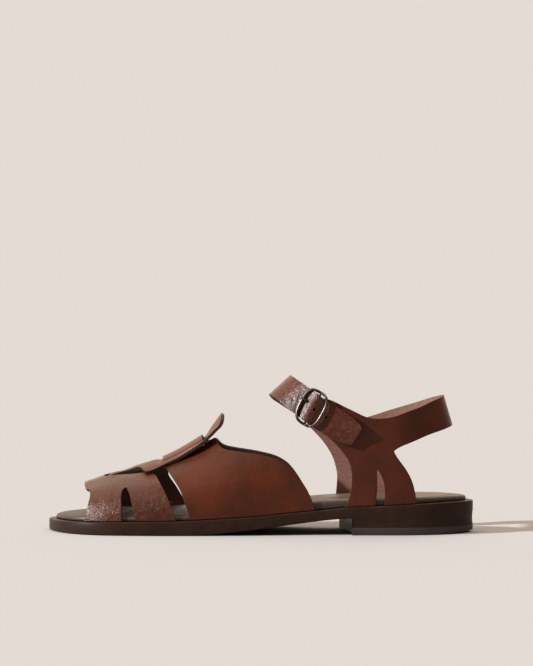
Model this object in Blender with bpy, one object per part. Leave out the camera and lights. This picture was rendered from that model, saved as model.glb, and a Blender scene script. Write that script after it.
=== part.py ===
"""Left fisherman sandal in leather, one shoe, standing on its sole.

The toe points to -X and the heel to +X. The outer (lateral) side faces -Y and the inner
(medial) side faces +Y. The floor is z = 0 and the origin lies under the middle of the sole.
Tables and sizes are in millimetres, and the meshes are in metres.
"""

import math

import bpy
import bmesh
import numpy as np
from mathutils import Vector
from mathutils.geometry import delaunay_2d_cdt

MM = 0.001
LATERAL = -1
MEDIAL = 1

# Leather and gaps
LEATHER = 1.8
STRAP_LEATHER = 1.6
FOLD_LEATHER = 1.0
GAP = 0.3
WEAVE_GAP = 0.42
HALF_STEP = (LEATHER + WEAVE_GAP) / 2

# Sole
MIDSOLE_SHARE = 0.52
FEATHER_INSET = 3.0
INSOLE_INSET = 4.4
LIFT_HEIGHT = 4.7
BREAST_LATERAL_X = 56.4
BREAST_MEDIAL_X = 49.0
BREAST_HOLLOW = 3.0
HEEL_BEVEL_START = 98.0
HEEL_BEVEL_RISE = 1.5
HEEL_WAIST = 0.5
OUTLINE_STEP = 6.8
CAP_GRID = 15.0

# Upper
SHEET_GRID = 6.2
EDGE_STEP = 3.6
MEDIAL_FRONT_SHIFT = 6.5
MEDIAL_REAR_SHIFT = -3.0
MEDIAL_BAND_BOW = 2.8
MEDIAL_QUARTER_SHIFT = -8.5
SLIT_HALF_WIDTH = 1.75
SLIT_GIRTH = 14.9
SLIT_RISE = 1.9
CROSS_FRONT_X = -62.0
CROSS_REAR_X = -37.0
TONGUE_FLARE_START = -39.0
TONGUE_FLARE = 8.3
TONGUE_WING = 5.0
COLLAR_LIFT = 1.6
STRIP_DIP = 0.8
FOREFOOT_SHIFT = 1.5

# Buckle, at its centre on the outer side of the ankle
BUCKLE_X = 32.3
BUCKLE_Z = 78.4
BUCKLE_SLOPE = math.radians(29)
BUCKLE_HALF_LENGTH = 6.95
BUCKLE_HALF_WIDTH = 11.0
BUCKLE_ROUNDNESS = 3.0
BUCKLE_WIRE = 0.9
BAR_WIRE = 0.7
BAR_LEVEL = 0.8
BUCKLE_SIDE_LEVEL = 4.15
BUCKLE_REAR_LEVEL = 4.9
PRONG_ACROSS = 2.2

# Plan outline of the sole, from the toe tip along the outer side and back on the inner side
SOLE_OUTLINE = (
    # x, y
    (-132.0, 4.5),
    (-129.0, -12.0),
    (-119.0, -29.5),
    (-104.0, -40.8),
    (-82.0, -45.6),
    (-50.0, -47.0),
    (-15.0, -46.2),
    (25.0, -43.4),
    (60.0, -42.2),
    (88.0, -42.2),
    (106.0, -39.2),
    (120.0, -31.3),
    (129.3, -21.0),
    (132.0, -12.5),
    (129.3, -3.6),
    (120.0, 6.2),
    (105.0, 13.6),
    (84.0, 17.2),
    (60.0, 16.8),
    (38.0, 17.8),
    (16.0, 25.4),
    (-6.0, 35.8),
    (-28.0, 43.8),
    (-50.0, 46.9),
    (-72.0, 45.4),
    (-94.0, 38.4),
    (-113.0, 27.4),
    (-126.5, 16.6),
)

# Heights along the sole: underside of the outsole, top of the midsole and top of the insole
SOLE_HEIGHTS = (
    # x, underside, midsole top, insole top
    (-132.0, 0.4, 7.4, 10.3),
    (-118.0, 0.05, 7.7, 11.1),
    (-102.0, 0.0, 8.1, 11.7),
    (-75.0, 0.0, 8.6, 12.1),
    (-48.0, 0.0, 9.1, 12.6),
    (-36.0, 0.35, 9.7, 13.4),
    (-20.0, 1.8, 10.6, 14.8),
    (-2.0, 3.8, 11.8, 16.7),
    (20.0, 6.8, 14.0, 19.4),
    (40.0, 9.3, 15.8, 21.4),
    (56.0, 10.6, 17.3, 22.3),
    (76.0, 11.5, 18.2, 22.8),
    (97.0, 12.6, 19.3, 23.2),
    (115.0, 13.4, 20.0, 23.4),
    (132.0, 13.4, 19.9, 23.1),
)

# Sections of the forefoot's last: crown of the leather's middle surface and fullness
LAST_SECTIONS = (
    # x, crown height, crown y, fullness
    (-130.0, 18.0, 4.0, 2.30),
    (-110.0, 28.2, 4.0, 2.30),
    (-99.0, 32.0, 3.8, 2.25),
    (-88.6, 35.3, 3.6, 2.20),
    (-78.6, 38.4, 3.4, 2.15),
    (-66.0, 42.3, 3.0, 2.10),
    (-61.0, 44.3, 3.0, 2.10),
    (-51.0, 49.4, 2.8, 2.05),
    (-41.0, 55.4, 2.5, 2.00),
    (-30.0, 62.0, 2.0, 2.00),
    (-15.0, 70.0, 0.5, 2.00),
    (5.0, 78.5, -3.0, 1.95),
    (25.0, 84.0, -8.0, 1.90),
    (45.0, 88.0, -12.0, 1.90),
)

# Level cuts around the ankle, through the leather's middle surface
ANKLE_SECTIONS = (
    # height, front x, back x, outer y, inner y
    (15.0, -12.0, 129.0, -40.5, 14.8),
    (45.0, -14.0, 125.0, -41.5, 15.5),
    (66.0, -9.0, 118.6, -41.5, 16.0),
    (76.0, -0.5, 115.8, -41.0, 16.0),
    (86.2, 9.7, 112.7, -40.5, 15.5),
    (96.8, 21.5, 109.6, -40.0, 15.0),
    (110.0, 36.5, 105.7, -39.5, 14.5),
)
ANKLE_FULLNESS = 2.3
ANKLE_RADIUS = 45.0
ANKLE_BLEND = 26.0

# Level of the ankle strap's middle above the quarter's, along the strap from the buckle's bar
STRAP_LEVELS = (
    # along the strap, level
    (-60.0, 2.0),
    (-11.0, 2.0),
    (-7.0, 2.0),
    (-5.0, 2.0),
    (-2.8, 3.2),
    (0.0, 4.15),
    (2.8, 3.2),
    (5.0, 2.0),
    (7.0, 2.0),
    (12.0, 2.0),
    (20.0, 2.2),
    (30.0, 3.2),
    (40.0, 4.7),
)

MATERIALS = {
    # name: colour, roughness, metallic
    "upper_leather": ((0.125, 0.034, 0.014), 0.45, 0.0),
    "insole_leather": ((0.19, 0.15, 0.115), 0.5, 0.0),
    "sole_leather": ((0.034, 0.016, 0.010), 0.42, 0.0),
    "gunmetal": ((0.10, 0.09, 0.09), 0.3, 1.0),
}


def smooth_path(points, step, closed=False):
    """Points about step apart on a smooth curve through the given points."""
    knots = [np.array(point, float) for point in points]
    count = len(knots)
    path = []
    for i in range(count if closed else count - 1):
        start, end = knots[i], knots[(i + 1) % count]
        before = knots[i - 1] if closed or i else 2 * start - end
        after = knots[(i + 2) % count] if closed or i + 2 < count else 2 * end - start
        times = [0.0]
        for a, b in ((before, start), (start, end), (end, after)):
            times.append(times[-1] + max(float(np.linalg.norm(b - a)), 1e-6) ** 0.5)
        pieces = max(1, round(float(np.linalg.norm(end - start)) / step))
        for k in range(pieces):
            t = times[1] + (times[2] - times[1]) * k / pieces
            path.append(blend_four(before, start, end, after, times, t))
    if not closed:
        path.append(knots[-1])
    return path


def blend_four(p0, p1, p2, p3, times, t):
    """One point of a centripetal curve between p1 and p2."""
    def mix(a, b, ta, tb):
        return a * (tb - t) / (tb - ta) + b * (t - ta) / (tb - ta)
    t0, t1, t2, t3 = times
    a1, a2, a3 = mix(p0, p1, t0, t1), mix(p1, p2, t1, t2), mix(p2, p3, t2, t3)
    b1, b2 = mix(a1, a2, t0, t2), mix(a2, a3, t1, t3)
    return mix(b1, b2, t1, t2)


def table_value(table, column, x):
    """Value of a table's column at x, on a smooth curve through its rows."""
    xs = np.array([row[0] for row in table])
    ys = np.array([row[column] for row in table])
    slopes = np.gradient(ys, xs)
    x = min(max(x, xs[0]), xs[-1])
    i = min(max(int(np.searchsorted(xs, x)) - 1, 0), len(xs) - 2)
    width = xs[i + 1] - xs[i]
    t = (x - xs[i]) / width
    return float((2 * t**3 - 3 * t**2 + 1) * ys[i] + (t**3 - 2 * t**2 + t) * width * slopes[i]
                 + (3 * t**2 - 2 * t**3) * ys[i + 1] + (t**3 - t**2) * width * slopes[i + 1])


def ease(value, start, end):
    """Smooth step: 0 before start, 1 after end."""
    t = min(max((value - start) / (end - start), 0.0), 1.0)
    return t * t * (3 - 2 * t)


# Plan of the sole

def plan_curve(step):
    """Closed plan outline and the directions that point inwards from it."""
    points = np.array(smooth_path(SOLE_OUTLINE, step, closed=True))
    tangent = np.roll(points, -1, 0) - np.roll(points, 1, 0)
    tangent /= np.linalg.norm(tangent, axis=1)[:, None]
    return points, np.stack([-tangent[:, 1], tangent[:, 0]], 1)


FINE_PLAN = plan_curve(1.2)
COARSE_PLAN = plan_curve(OUTLINE_STEP)


def side_y(x, side, inset=0.0):
    """Y of the plan outline, moved inwards by inset, on one side at length x."""
    points = FINE_PLAN[0] + inset * FINE_PLAN[1]
    toe, heel = int(np.argmin(points[:, 0])), int(np.argmax(points[:, 0]))
    half = points[toe:heel + 1] if toe < heel else np.concatenate([points[toe:], points[:heel + 1]])
    if side == MEDIAL:
        half = np.concatenate([points[heel:], points[:toe + 1]])[::-1]
    return float(np.interp(x, half[:, 0], half[:, 1]))


def underside(x, y=0.0):
    """Height of the outsole's underside."""
    return max(0.0, table_value(SOLE_HEIGHTS, 1, x))


def midsole_top(x, y=0.0):
    """Height of the midsole's top."""
    return table_value(SOLE_HEIGHTS, 2, x)


def insole_top(x, y=0.0):
    """Height of the insole's top."""
    return table_value(SOLE_HEIGHTS, 3, x)


def sole_split(x, y=0.0):
    """Height where the midsole rests on the outsole."""
    return midsole_top(x) - MIDSOLE_SHARE * (midsole_top(x) - underside(x))


# Building solids

def inside(points, loops):
    """True for each point that lies inside the loops, counted odd and even."""
    hit = np.zeros(len(points), bool)
    px, py = points[:, 0][:, None], points[:, 1][:, None]
    for loop in loops:
        a, b = loop, np.roll(loop, -1, 0)
        rise = np.where(b[:, 1] == a[:, 1], 1e-12, b[:, 1] - a[:, 1])
        cross = (a[:, 1] > py) != (b[:, 1] > py)
        hit ^= (cross & (px < (b[:, 0] - a[:, 0]) * (py - a[:, 1]) / rise + a[:, 0])).sum(1) % 2 == 1
    return hit


def edge_distance(points, loops):
    """Distance from each point to the nearest edge of the loops."""
    best = np.full(len(points), 1e9)
    for loop in loops:
        a, run = loop, np.roll(loop, -1, 0) - loop
        to = points[:, None, :] - a[None]
        t = np.clip((to * run).sum(2) / (run * run).sum(1), 0, 1)
        best = np.minimum(best, np.linalg.norm(to - t[..., None] * run, axis=2).min(1))
    return best


def flat_area(corners):
    """Area of a flat triangle."""
    (ax, ay), (bx, by), (cx, cy) = corners
    return abs((bx - ax) * (cy - ay) - (cx - ax) * (by - ay)) / 2


def fill(loops, grid, extra=()):
    """Flat points and triangles inside the first loop and outside the others, through the extra points."""
    loops = [np.array(loop, float)[:, :2] for loop in loops]
    low, high = loops[0].min(0), loops[0].max(0)
    columns = np.arange(low[0] + grid / 2, high[0], grid)
    rows = np.arange(low[1] + grid / 2, high[1], grid)
    mesh = np.array([(x + (k % 2) * grid / 2, y) for k, y in enumerate(rows) for x in columns])
    mesh = mesh[inside(mesh, loops)]
    mesh = mesh[edge_distance(mesh, loops) > 0.5 * grid]
    if len(extra):
        extra = np.array(extra, float)
        extra = extra[inside(extra, loops)]
        extra = extra[edge_distance(extra, loops) > 0.9]
        apart = np.linalg.norm(mesh[:, None] - extra[None], axis=2).min(1)
        mesh = np.concatenate([extra, mesh[apart > 0.6 * grid]])
    points = np.concatenate(loops + [mesh])
    edges = []
    start = 0
    for loop in loops:
        count = len(loop)
        edges += [(start + k, start + (k + 1) % count) for k in range(count)]
        start += count
    result = delaunay_2d_cdt([Vector(p) for p in points], edges, [], 0, 1e-7)
    if len(result[0]) != len(points):
        raise RuntimeError("the outline crosses itself")
    faces = [face for face in result[2] if flat_area(points[list(face)]) > (0.02 * grid) ** 2]
    middles = np.array([points[list(face)].mean(0) for face in faces])
    kept = inside(middles, loops)
    return points, [tuple(face) for face, keep in zip(faces, kept) if keep]


def add_object(name, points, faces, material):
    """New object from points in millimetres, closed, outward and smooth."""
    mesh = bpy.data.meshes.new(name)
    mesh.from_pydata([tuple(float(c) * MM for c in p) for p in points], [], faces)
    shell = bmesh.new()
    shell.from_mesh(mesh)
    bmesh.ops.recalc_face_normals(shell, faces=shell.faces)
    shell.to_mesh(mesh)
    shell.free()
    mesh.shade_smooth()
    mesh.set_sharp_from_angle(angle=math.radians(38))
    mesh.materials.append(bpy.data.materials[material])
    thing = bpy.data.objects.new(name, mesh)
    bpy.context.scene.collection.objects.link(thing)
    return thing


def slab(name, rings, bottom, top, material, grid=CAP_GRID):
    """Solid between rings of equal count, stacked from the underside to the top."""
    points = [tuple(p) for ring in rings for p in ring]
    count = len(rings[0])
    faces = []
    for level in range(len(rings) - 1):
        low, high = level * count, (level + 1) * count
        for k in range(count):
            n = (k + 1) % count
            faces.append((low + k, low + n, high + n, high + k))
    for start, height in ((0, bottom), ((len(rings) - 1) * count, top)):
        flat, triangles = fill([rings[0] if start == 0 else rings[-1]], grid)
        extra = len(points)
        points += [(x, y, height(x, y)) for x, y in flat[count:]]
        names = list(range(start, start + count)) + list(range(extra, extra + len(flat) - count))
        faces += [tuple(names[i] for i in face) for face in triangles]
    return add_object(name, points, faces, material)


def sheet(name, loops, place, thickness, material, grid=SHEET_GRID, extra=()):
    """Leather cut to the loops' outline, laid by place(u, v) and given its thickness."""
    flat, triangles = fill(loops, grid, extra)
    thing = add_object(name, [place(u, v) for u, v in flat], triangles, material)
    give_thickness(thing, thickness)
    return thing


def give_thickness(thing, thickness):
    """Wall of the given thickness, half on each side of the object's surface."""
    leather = thing.modifiers.new("leather", "SOLIDIFY")
    leather.thickness = thickness * MM
    leather.offset = 0.0
    leather.use_even_offset = True
    leather.use_quality_normals = True


def tube(name, path, radii, material, closed=False, sides=2):
    """Round wire along a path in millimetres, with filled caps where it is open."""
    curve = bpy.data.curves.new(name, "CURVE")
    curve.dimensions = "3D"
    curve.bevel_depth = MM
    curve.bevel_resolution = sides
    curve.use_fill_caps = True
    line = curve.splines.new("POLY")
    line.points.add(len(path) - 1)
    for point, place, radius in zip(line.points, path, radii):
        point.co = (*(float(c) * MM for c in place), 1.0)
        point.radius = radius
    line.use_cyclic_u = closed
    curve.materials.append(bpy.data.materials[material])
    thing = bpy.data.objects.new(name, curve)
    bpy.context.scene.collection.objects.link(thing)
    return thing


# Sole, heel and insole

def ring(inset, height, lift=0.0):
    """Plan outline at an inset, each point at its height."""
    flat = COARSE_PLAN[0] + inset * COARSE_PLAN[1]
    return [(x, y, height(x) + lift) for x, y in flat]


def build_outsole():
    """Leather outsole with a worn lower edge."""
    profile = ((1.1, 0.0, underside), (0.3, 0.25, underside), (0.0, 0.9, underside), (0.0, -GAP, sole_split))
    rings = [ring(inset, height, lift) for inset, lift, height in profile]
    slab("outsole", rings, underside, lambda x, y: sole_split(x) - GAP, "sole_leather")


def build_midsole():
    """Midsole with a small bevel along its upper edge."""
    profile = ((0.0, 0.0, sole_split), (0.0, -0.6, midsole_top), (0.7, 0.0, midsole_top))
    rings = [ring(inset, height, lift) for inset, lift, height in profile]
    slab("midsole", rings, sole_split, midsole_top, "sole_leather")


def build_insole():
    """Padded footbed, inset from the edge, with a rolled upper edge."""
    foot = midsole_top
    profile = ((0.0, GAP, foot), (0.0, -1.9, insole_top), (0.5, -0.75, insole_top), (1.7, 0.0, insole_top))
    rings = [ring(INSOLE_INSET + inset, height, lift) for inset, lift, height in profile]
    slab("insole", rings, lambda x, y: midsole_top(x) + GAP, insole_top, "insole_leather")


def heel_ring(inset, height):
    """Plan of the heel: the sole's outline behind the hollowed breast."""
    points, inward = FINE_PLAN
    outer = [i for i in range(len(points)) if points[i][1] < -12.5 and points[i][0] > BREAST_LATERAL_X]
    inner = [i for i in range(len(points)) if points[i][1] >= -12.5 and points[i][0] > BREAST_MEDIAL_X]
    chosen = [i for k, i in enumerate(outer + inner) if k % 4 == 0]
    loop = [points[i] + inset * inward[i] for i in chosen]
    first = np.array((BREAST_LATERAL_X + inset, side_y(BREAST_LATERAL_X, LATERAL, inset)))
    last = np.array((BREAST_MEDIAL_X + inset, side_y(BREAST_MEDIAL_X, MEDIAL, inset)))
    loop = [first] + loop[1:-1] + [last]
    for k in range(1, 9):
        t = k / 9
        hollow = np.array((4 * t * (1 - t) * BREAST_HOLLOW, 0.0))
        loop.append(last + (first - last) * t + hollow)
    return [(x, y, height(x)) for x, y in loop]


def lift_bottom(x, y=0.0):
    """Underside of the heel, bevelled at the back."""
    return HEEL_BEVEL_RISE * (max(0.0, x - HEEL_BEVEL_START) / (132.0 - HEEL_BEVEL_START)) ** 2


def build_heel():
    """Heel block of stacked leather, slightly waisted, on a top lift."""
    def lift_top(x, y=0.0):
        return LIFT_HEIGHT

    def stack_bottom(x, y=0.0):
        return LIFT_HEIGHT + GAP

    def stack_top(x, y=0.0):
        return underside(x) - GAP

    def waist(x, y=0.0):
        return (stack_bottom(x) + stack_top(x)) / 2

    rings = [heel_ring(0.35, lift_bottom), heel_ring(0.0, lambda x: lift_bottom(x) + 0.5),
             heel_ring(0.1, lift_top)]
    slab("top_lift", rings, lift_bottom, lift_top, "sole_leather")
    rings = [heel_ring(0.1, stack_bottom), heel_ring(HEEL_WAIST, waist), heel_ring(0.1, stack_top)]
    slab("heel_stack", rings, stack_bottom, stack_top, "sole_leather")


# Surface of the forefoot: x along the shoe, girth from the crown, negative on the outer side

SECTION_CACHE = {}


def on_shoe(x):
    """Place along the shoe of the pattern's x: the forefoot's pieces sit a little further back."""
    return x + FOREFOOT_SHIFT * (1 - ease(x, -20.0, 30.0))


def last_section(x):
    """Girth, y and z of the leather's middle surface across the shoe at the pattern's x."""
    key = round(x, 3)
    if key in SECTION_CACHE:
        return SECTION_CACHE[key]
    crown, crown_y, fullness = (table_value(LAST_SECTIONS, column, x) for column in (1, 2, 3))
    foot = midsole_top(on_shoe(x)) + GAP
    angle = np.linspace(-math.pi / 2, math.pi / 2, 121)
    power = 2 / fullness
    reach = {side: abs(side_y(on_shoe(x), side, FEATHER_INSET) - crown_y) for side in (LATERAL, MEDIAL)}
    half = np.where(angle < 0, reach[LATERAL], reach[MEDIAL])
    y = crown_y + half * np.sign(angle) * np.abs(np.sin(angle)) ** power
    z = foot + (crown - foot) * np.maximum(np.cos(angle), 0.0) ** power
    girth = np.concatenate([[0.0], np.cumsum(np.hypot(np.diff(y), np.diff(z)))])
    girth -= girth[60]
    SECTION_CACHE[key] = (girth, y, z)
    return SECTION_CACHE[key]


def last_point(x, girth):
    """Point of the middle surface."""
    along, y, z = last_section(x)
    return np.array((on_shoe(x), float(np.interp(girth, along, y)), float(np.interp(girth, along, z))))


def last_place(x, girth, level):
    """Point raised by level along the surface's normal."""
    step = 1.0
    low, high = last_section(x)[0][[0, -1]]
    a, b = max(girth - step, low), min(girth + step, high)
    across = last_point(x, b) - last_point(x, a)
    along = last_point(x + step, girth) - last_point(x - step, girth)
    normal = np.cross(along, across)
    return last_point(x, girth) + level * normal / np.linalg.norm(normal)


def foot_edge(x, side=LATERAL):
    """Girth where the leather meets the midsole."""
    girth = last_section(x)[0]
    return float(girth[0] if side == LATERAL else girth[-1])


def wall(x, z):
    """Outline point on the outer side, given by its height."""
    girth, _, height = last_section(x)
    return x, float(np.interp(z, height[:61], girth[:61]))


def foot(x):
    """Outline point on the outer side, at the midsole."""
    return x, foot_edge(x)


def crown(x, girth):
    """Outline point on the outer side, given by its distance from the crown line."""
    return x, -girth


def foot_run(start, end):
    """Points along the midsole from start to end, without its ends."""
    count = max(1, round(abs(end - start) / 5.0))
    return [foot(start + (end - start) * k / count) for k in range(1, count)]


def to_medial(point, shift):
    """The matching point on the inner side, moved along the shoe by shift(x, share of girth)."""
    x, girth = point
    share = girth / foot_edge(x)
    x += shift(x, share)
    return x, share * foot_edge(x, MEDIAL)


def mirrored(half, shift):
    """Closed outline from an outer half that starts and ends on the crown line."""
    inner = [to_medial(point, shift) for point in reversed(half[1:-1])]
    return [tuple(point) for point in half] + inner


# Toe band

def band_level(x, girth):
    """The band rises over the strip at its bridge and passes under the tongue's shoulders."""
    bridge = (1 - ease(abs(girth), 8.0, 17.0)) * (1 - ease(x, -94.0, -84.0))
    corner = ease(x, -92.0, -79.5) * (1 - ease(abs(girth), 27.5, 41.0))
    return HALF_STEP * bridge - (HALF_STEP + 0.05) * corner


def build_toe_band():
    """Front band with slotted legs, joined by a bridge over the toes."""
    front = smooth_path([crown(-110.6, 0), crown(-110.7, 9), crown(-110.6, 16), crown(-109.9, 20.5),
                         crown(-107.9, 24.0), wall(-107.4, 22.0), wall(-108.8, 17.0), foot(-110.5)], EDGE_STEP)
    slot = smooth_path([foot(-87.5), wall(-87.8, 18.0), wall(-88.1, 23.0), wall(-86.8, 27.6),
                        wall(-85.0, 28.6), wall(-83.3, 26.4), wall(-81.7, 20.5), foot(-78.9)], EDGE_STEP)
    rear = smooth_path([foot(-54.2), wall(-56.1, 15.5), wall(-60.5, 25.6), wall(-63.1, 30.2),
                        wall(-65.4, 34.0), crown(-67.2, 27.0), crown(-69.8, 22.4), crown(-72.8, 19.6),
                        crown(-77.0, 17.8), crown(-85.5, 14.0), crown(-94.0, 10.4), crown(-98.2, 7.0),
                        crown(-99.0, 0)], EDGE_STEP)
    half = front + foot_run(-110.5, -87.5) + slot + foot_run(-78.9, -54.2) + rear

    def shift(x, share):
        bow = MEDIAL_BAND_BOW * ease(share, 0.25, 0.42) * (1 - ease(share, 0.46, 0.64)) - 1.8 * share
        return (MEDIAL_FRONT_SHIFT * ease(x, -116.0, -80.0) + 2.0) * share + bow * ease(x, -80.0, -66.0)

    sheet("toe_band", [mirrored(half, shift)], lambda x, g: last_place(x, g, band_level(x, g)),
          LEATHER, "upper_leather")


# Tongue

def slit_region(x):
    """1 along the slits, 0 ahead of them and behind them."""
    return ease(x, CROSS_FRONT_X - 5.0, CROSS_FRONT_X) * (1 - ease(x, CROSS_REAR_X + 0.5, CROSS_REAR_X + 6.5))


def tongue_level(x, girth):
    """Under the bridge, over the band's corners, then under the cross strap between raised margins."""
    strip = HALF_STEP * (2 * ease(x, -98.0, -94.0) - 1)
    strip -= STRIP_DIP * ease(x, -94.0, -88.0) * (1 - ease(x, -84.0, -77.0))
    margin = ease(abs(girth), SLIT_GIRTH - 2.0, SLIT_GIRTH + 2.0)
    wing = TONGUE_WING * ease(abs(girth), SLIT_GIRTH + 1.0, 26.0) * ease(x, -60.0, -30.0)
    woven = -2 * HALF_STEP * slit_region(x) * (1 - margin)
    flare = max(0.0, x - TONGUE_FLARE_START)
    return strip + woven + wing + TONGUE_FLARE * (flare / 20.0) ** 2


def build_tongue():
    """Strip over the toes that widens into the slit paddle, with a flared end."""
    half = smooth_path([crown(-107.0, 0), crown(-106.6, 4.0), crown(-104.5, 6.4), crown(-95.0, 6.6),
                        crown(-84.0, 7.0), crown(-78.4, 9.0), crown(-75.8, 14.0), crown(-74.4, 20.0),
                        crown(-72.6, 24.2), crown(-68.8, 25.0), crown(-64.0, 23.2), crown(-59.0, 22.0),
                        crown(-51.0, 23.0), crown(-43.0, 24.8), crown(-35.0, 25.8), crown(-27.8, 24.0),
                        crown(-23.8, 17.6), crown(-22.2, 9.0), crown(-22.0, 0)], EDGE_STEP)

    def slit(side):
        half_width = SLIT_HALF_WIDTH
        front, rear = CROSS_FRONT_X - 0.7, CROSS_REAR_X + 0.7
        count = 9
        near = [(front + (rear - front) * k / count, SLIT_GIRTH - half_width) for k in range(count + 1)]
        far = [(x, SLIT_GIRTH + half_width) for x, _ in reversed(near)]
        return [(x, side * girth) for x, girth in near + far]

    loops = [mirrored(half, lambda x, share: 0.0), slit(LATERAL), slit(MEDIAL)]
    bends = [(x, girth) for x in (-67.0, -64.6, -62.7, -36.3, -33.6, -30.6)
             for girth in (-20.0, -16.0, -12.5, -8.0, -4.0, 0.0, 4.0, 8.0, 12.5, 16.0, 20.0)]
    bends += [(x, girth) for x in (-98.2, -96.6, -95.2, -93.8) for girth in (-4.0, 0.0, 4.0)]
    sheet("tongue", loops, lambda x, g: last_place(x, g, tongue_level(x, g)), LEATHER, "upper_leather",
          extra=bends)


# Side panels and cross strap

def vamp_level(x, girth):
    """The cross strap lies over the tongue, and the panels pass under its margins."""
    side = abs(girth)
    over = 1 - ease(side, SLIT_GIRTH - SLIT_RISE, SLIT_GIRTH + SLIT_RISE)
    under = 1 - ease(side, 27.0, 42.0)
    collar = COLLAR_LIFT * ease(side, 17.5, 22.0) * under * ease(x, -40.0, -31.0)
    return 2 * HALF_STEP * over - HALF_STEP * under + collar


def build_vamp():
    """Outer and inner side panels with the cross strap that joins them."""
    inner_bend, outer_bend = SLIT_GIRTH - SLIT_RISE, SLIT_GIRTH + SLIT_RISE
    half = smooth_path([crown(CROSS_FRONT_X, 0), crown(CROSS_FRONT_X, inner_bend)], EDGE_STEP)
    half += [crown(CROSS_FRONT_X, SLIT_GIRTH)]
    half += smooth_path([crown(CROSS_FRONT_X, outer_bend), crown(-61.6, 20.5),
                         crown(-60.2, 24.5), wall(-57.6, 37.0), wall(-54.4, 32.4), wall(-51.6, 28.0),
                         wall(-48.0, 18.5), foot(-44.9)], EDGE_STEP)
    half += foot_run(-44.9, 33.5)
    half += smooth_path([foot(33.5), wall(31.5, 22.0), wall(28.3, 28.8), wall(23.9, 35.1),
                         wall(17.5, 42.2), wall(9.2, 46.9), wall(-0.4, 49.2), wall(-13.0, 50.8),
                         wall(-19.0, 51.4), wall(-25.0, 52.4), crown(-30.4, 20.6), crown(-34.6, 18.8),
                         crown(CROSS_REAR_X, outer_bend)], EDGE_STEP)
    half += [crown(CROSS_REAR_X, SLIT_GIRTH)]
    half += smooth_path([crown(CROSS_REAR_X, inner_bend), crown(CROSS_REAR_X, 0)], EDGE_STEP)

    def shift(x, share):
        ahead = MEDIAL_FRONT_SHIFT * (1 - ease(x, -40.0, -10.0))
        behind = MEDIAL_REAR_SHIFT * ease(x, -20.0, 10.0)
        return (ahead + behind) * ease(share, 0.36, 1.0)

    bends = [(CROSS_FRONT_X + 5.0 * k, side * girth) for k in range(1, 5) for side in (-1, 1)
             for girth in (inner_bend, SLIT_GIRTH, outer_bend)]
    sheet("vamp", [mirrored(half, shift)], lambda x, g: last_place(x, g, vamp_level(x, g)),
          LEATHER, "upper_leather", extra=bends)


# Surface around the ankle: turn runs from the back, negative to the outer side, in millimetres

def ankle_cut(z):
    """Middle x, half length, middle y and half width of the level cut at height z."""
    front, back, outer, inner = (table_value(ANKLE_SECTIONS, column, z) for column in (1, 2, 3, 4))
    return (front + back) / 2, (back - front) / 2, (outer + inner) / 2, (inner - outer) / 2


def ankle_point(turn, z):
    """Point of the quarters' middle surface."""
    middle_x, half_length, middle_y, half_width = ankle_cut(z)
    angle = turn / ANKLE_RADIUS
    power = 2 / ANKLE_FULLNESS
    cos, sin = math.cos(angle), math.sin(angle)
    x = middle_x + half_length * math.copysign(abs(cos) ** power, cos)
    y = middle_y + half_width * math.copysign(abs(sin) ** power, sin)
    near_sole = 1 - ease(z, midsole_top(x) + 2.0, midsole_top(x) + ANKLE_BLEND)
    if near_sole > 0:
        y += near_sole * (side_y(x, MEDIAL if sin > 0 else LATERAL, FEATHER_INSET) - y)
    return np.array((x, y, z))


def ankle_place(turn, z, level):
    """Point raised by level along the surface's normal, outwards."""
    step = 0.8
    along = ankle_point(turn + step, z) - ankle_point(turn - step, z)
    up = ankle_point(turn, z + step) - ankle_point(turn, z - step)
    normal = np.cross(along, up)
    return ankle_point(turn, z) + level * normal / np.linalg.norm(normal)


def ankle_turn(x, z, side):
    """Turn of the point at x and z on one side."""
    middle_x, half_length, _, _ = ankle_cut(z)
    share = min(max((x - middle_x) / half_length, -1.0), 1.0)
    cos = math.copysign(abs(share) ** (ANKLE_FULLNESS / 2), share)
    return side * math.acos(cos) * ANKLE_RADIUS


def outer_side(points):
    """Turn and height of points on the outer side, given by x and z."""
    return [(ankle_turn(x, z, LATERAL), z) for x, z in points]


def inner_side(points):
    """Turn and height of points on the inner side, given by x and z."""
    return [(ankle_turn(x, z, MEDIAL), z) for x, z in points]


def strap_axes(x, z):
    """Distances of a point from the buckle's bar, along the strap and across it."""
    dx, dz = x - BUCKLE_X, z - BUCKLE_Z
    cos, sin = math.cos(BUCKLE_SLOPE), math.sin(BUCKLE_SLOPE)
    return dx * cos - dz * sin, dx * sin + dz * cos


def buckle_place(along, across, level):
    """Point given by its distances from the buckle's bar and its level on the leather."""
    cos, sin = math.cos(BUCKLE_SLOPE), math.sin(BUCKLE_SLOPE)
    x = BUCKLE_X + along * cos + across * sin
    z = BUCKLE_Z - along * sin + across * cos
    return ankle_place(ankle_turn(x, z, LATERAL), z, level)


def quarter_level(turn, z):
    """The tab that carries the buckle rises to the bar."""
    if turn > 0:
        return 0.0
    along, _ = strap_axes(ankle_point(turn, z)[0], z)
    return (BAR_LEVEL - 0.3) * (1 - ease(along, 2.0, 6.0))


def quarter_foot(x):
    """Height of the quarters' lower edge."""
    return midsole_top(x) + GAP


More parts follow.
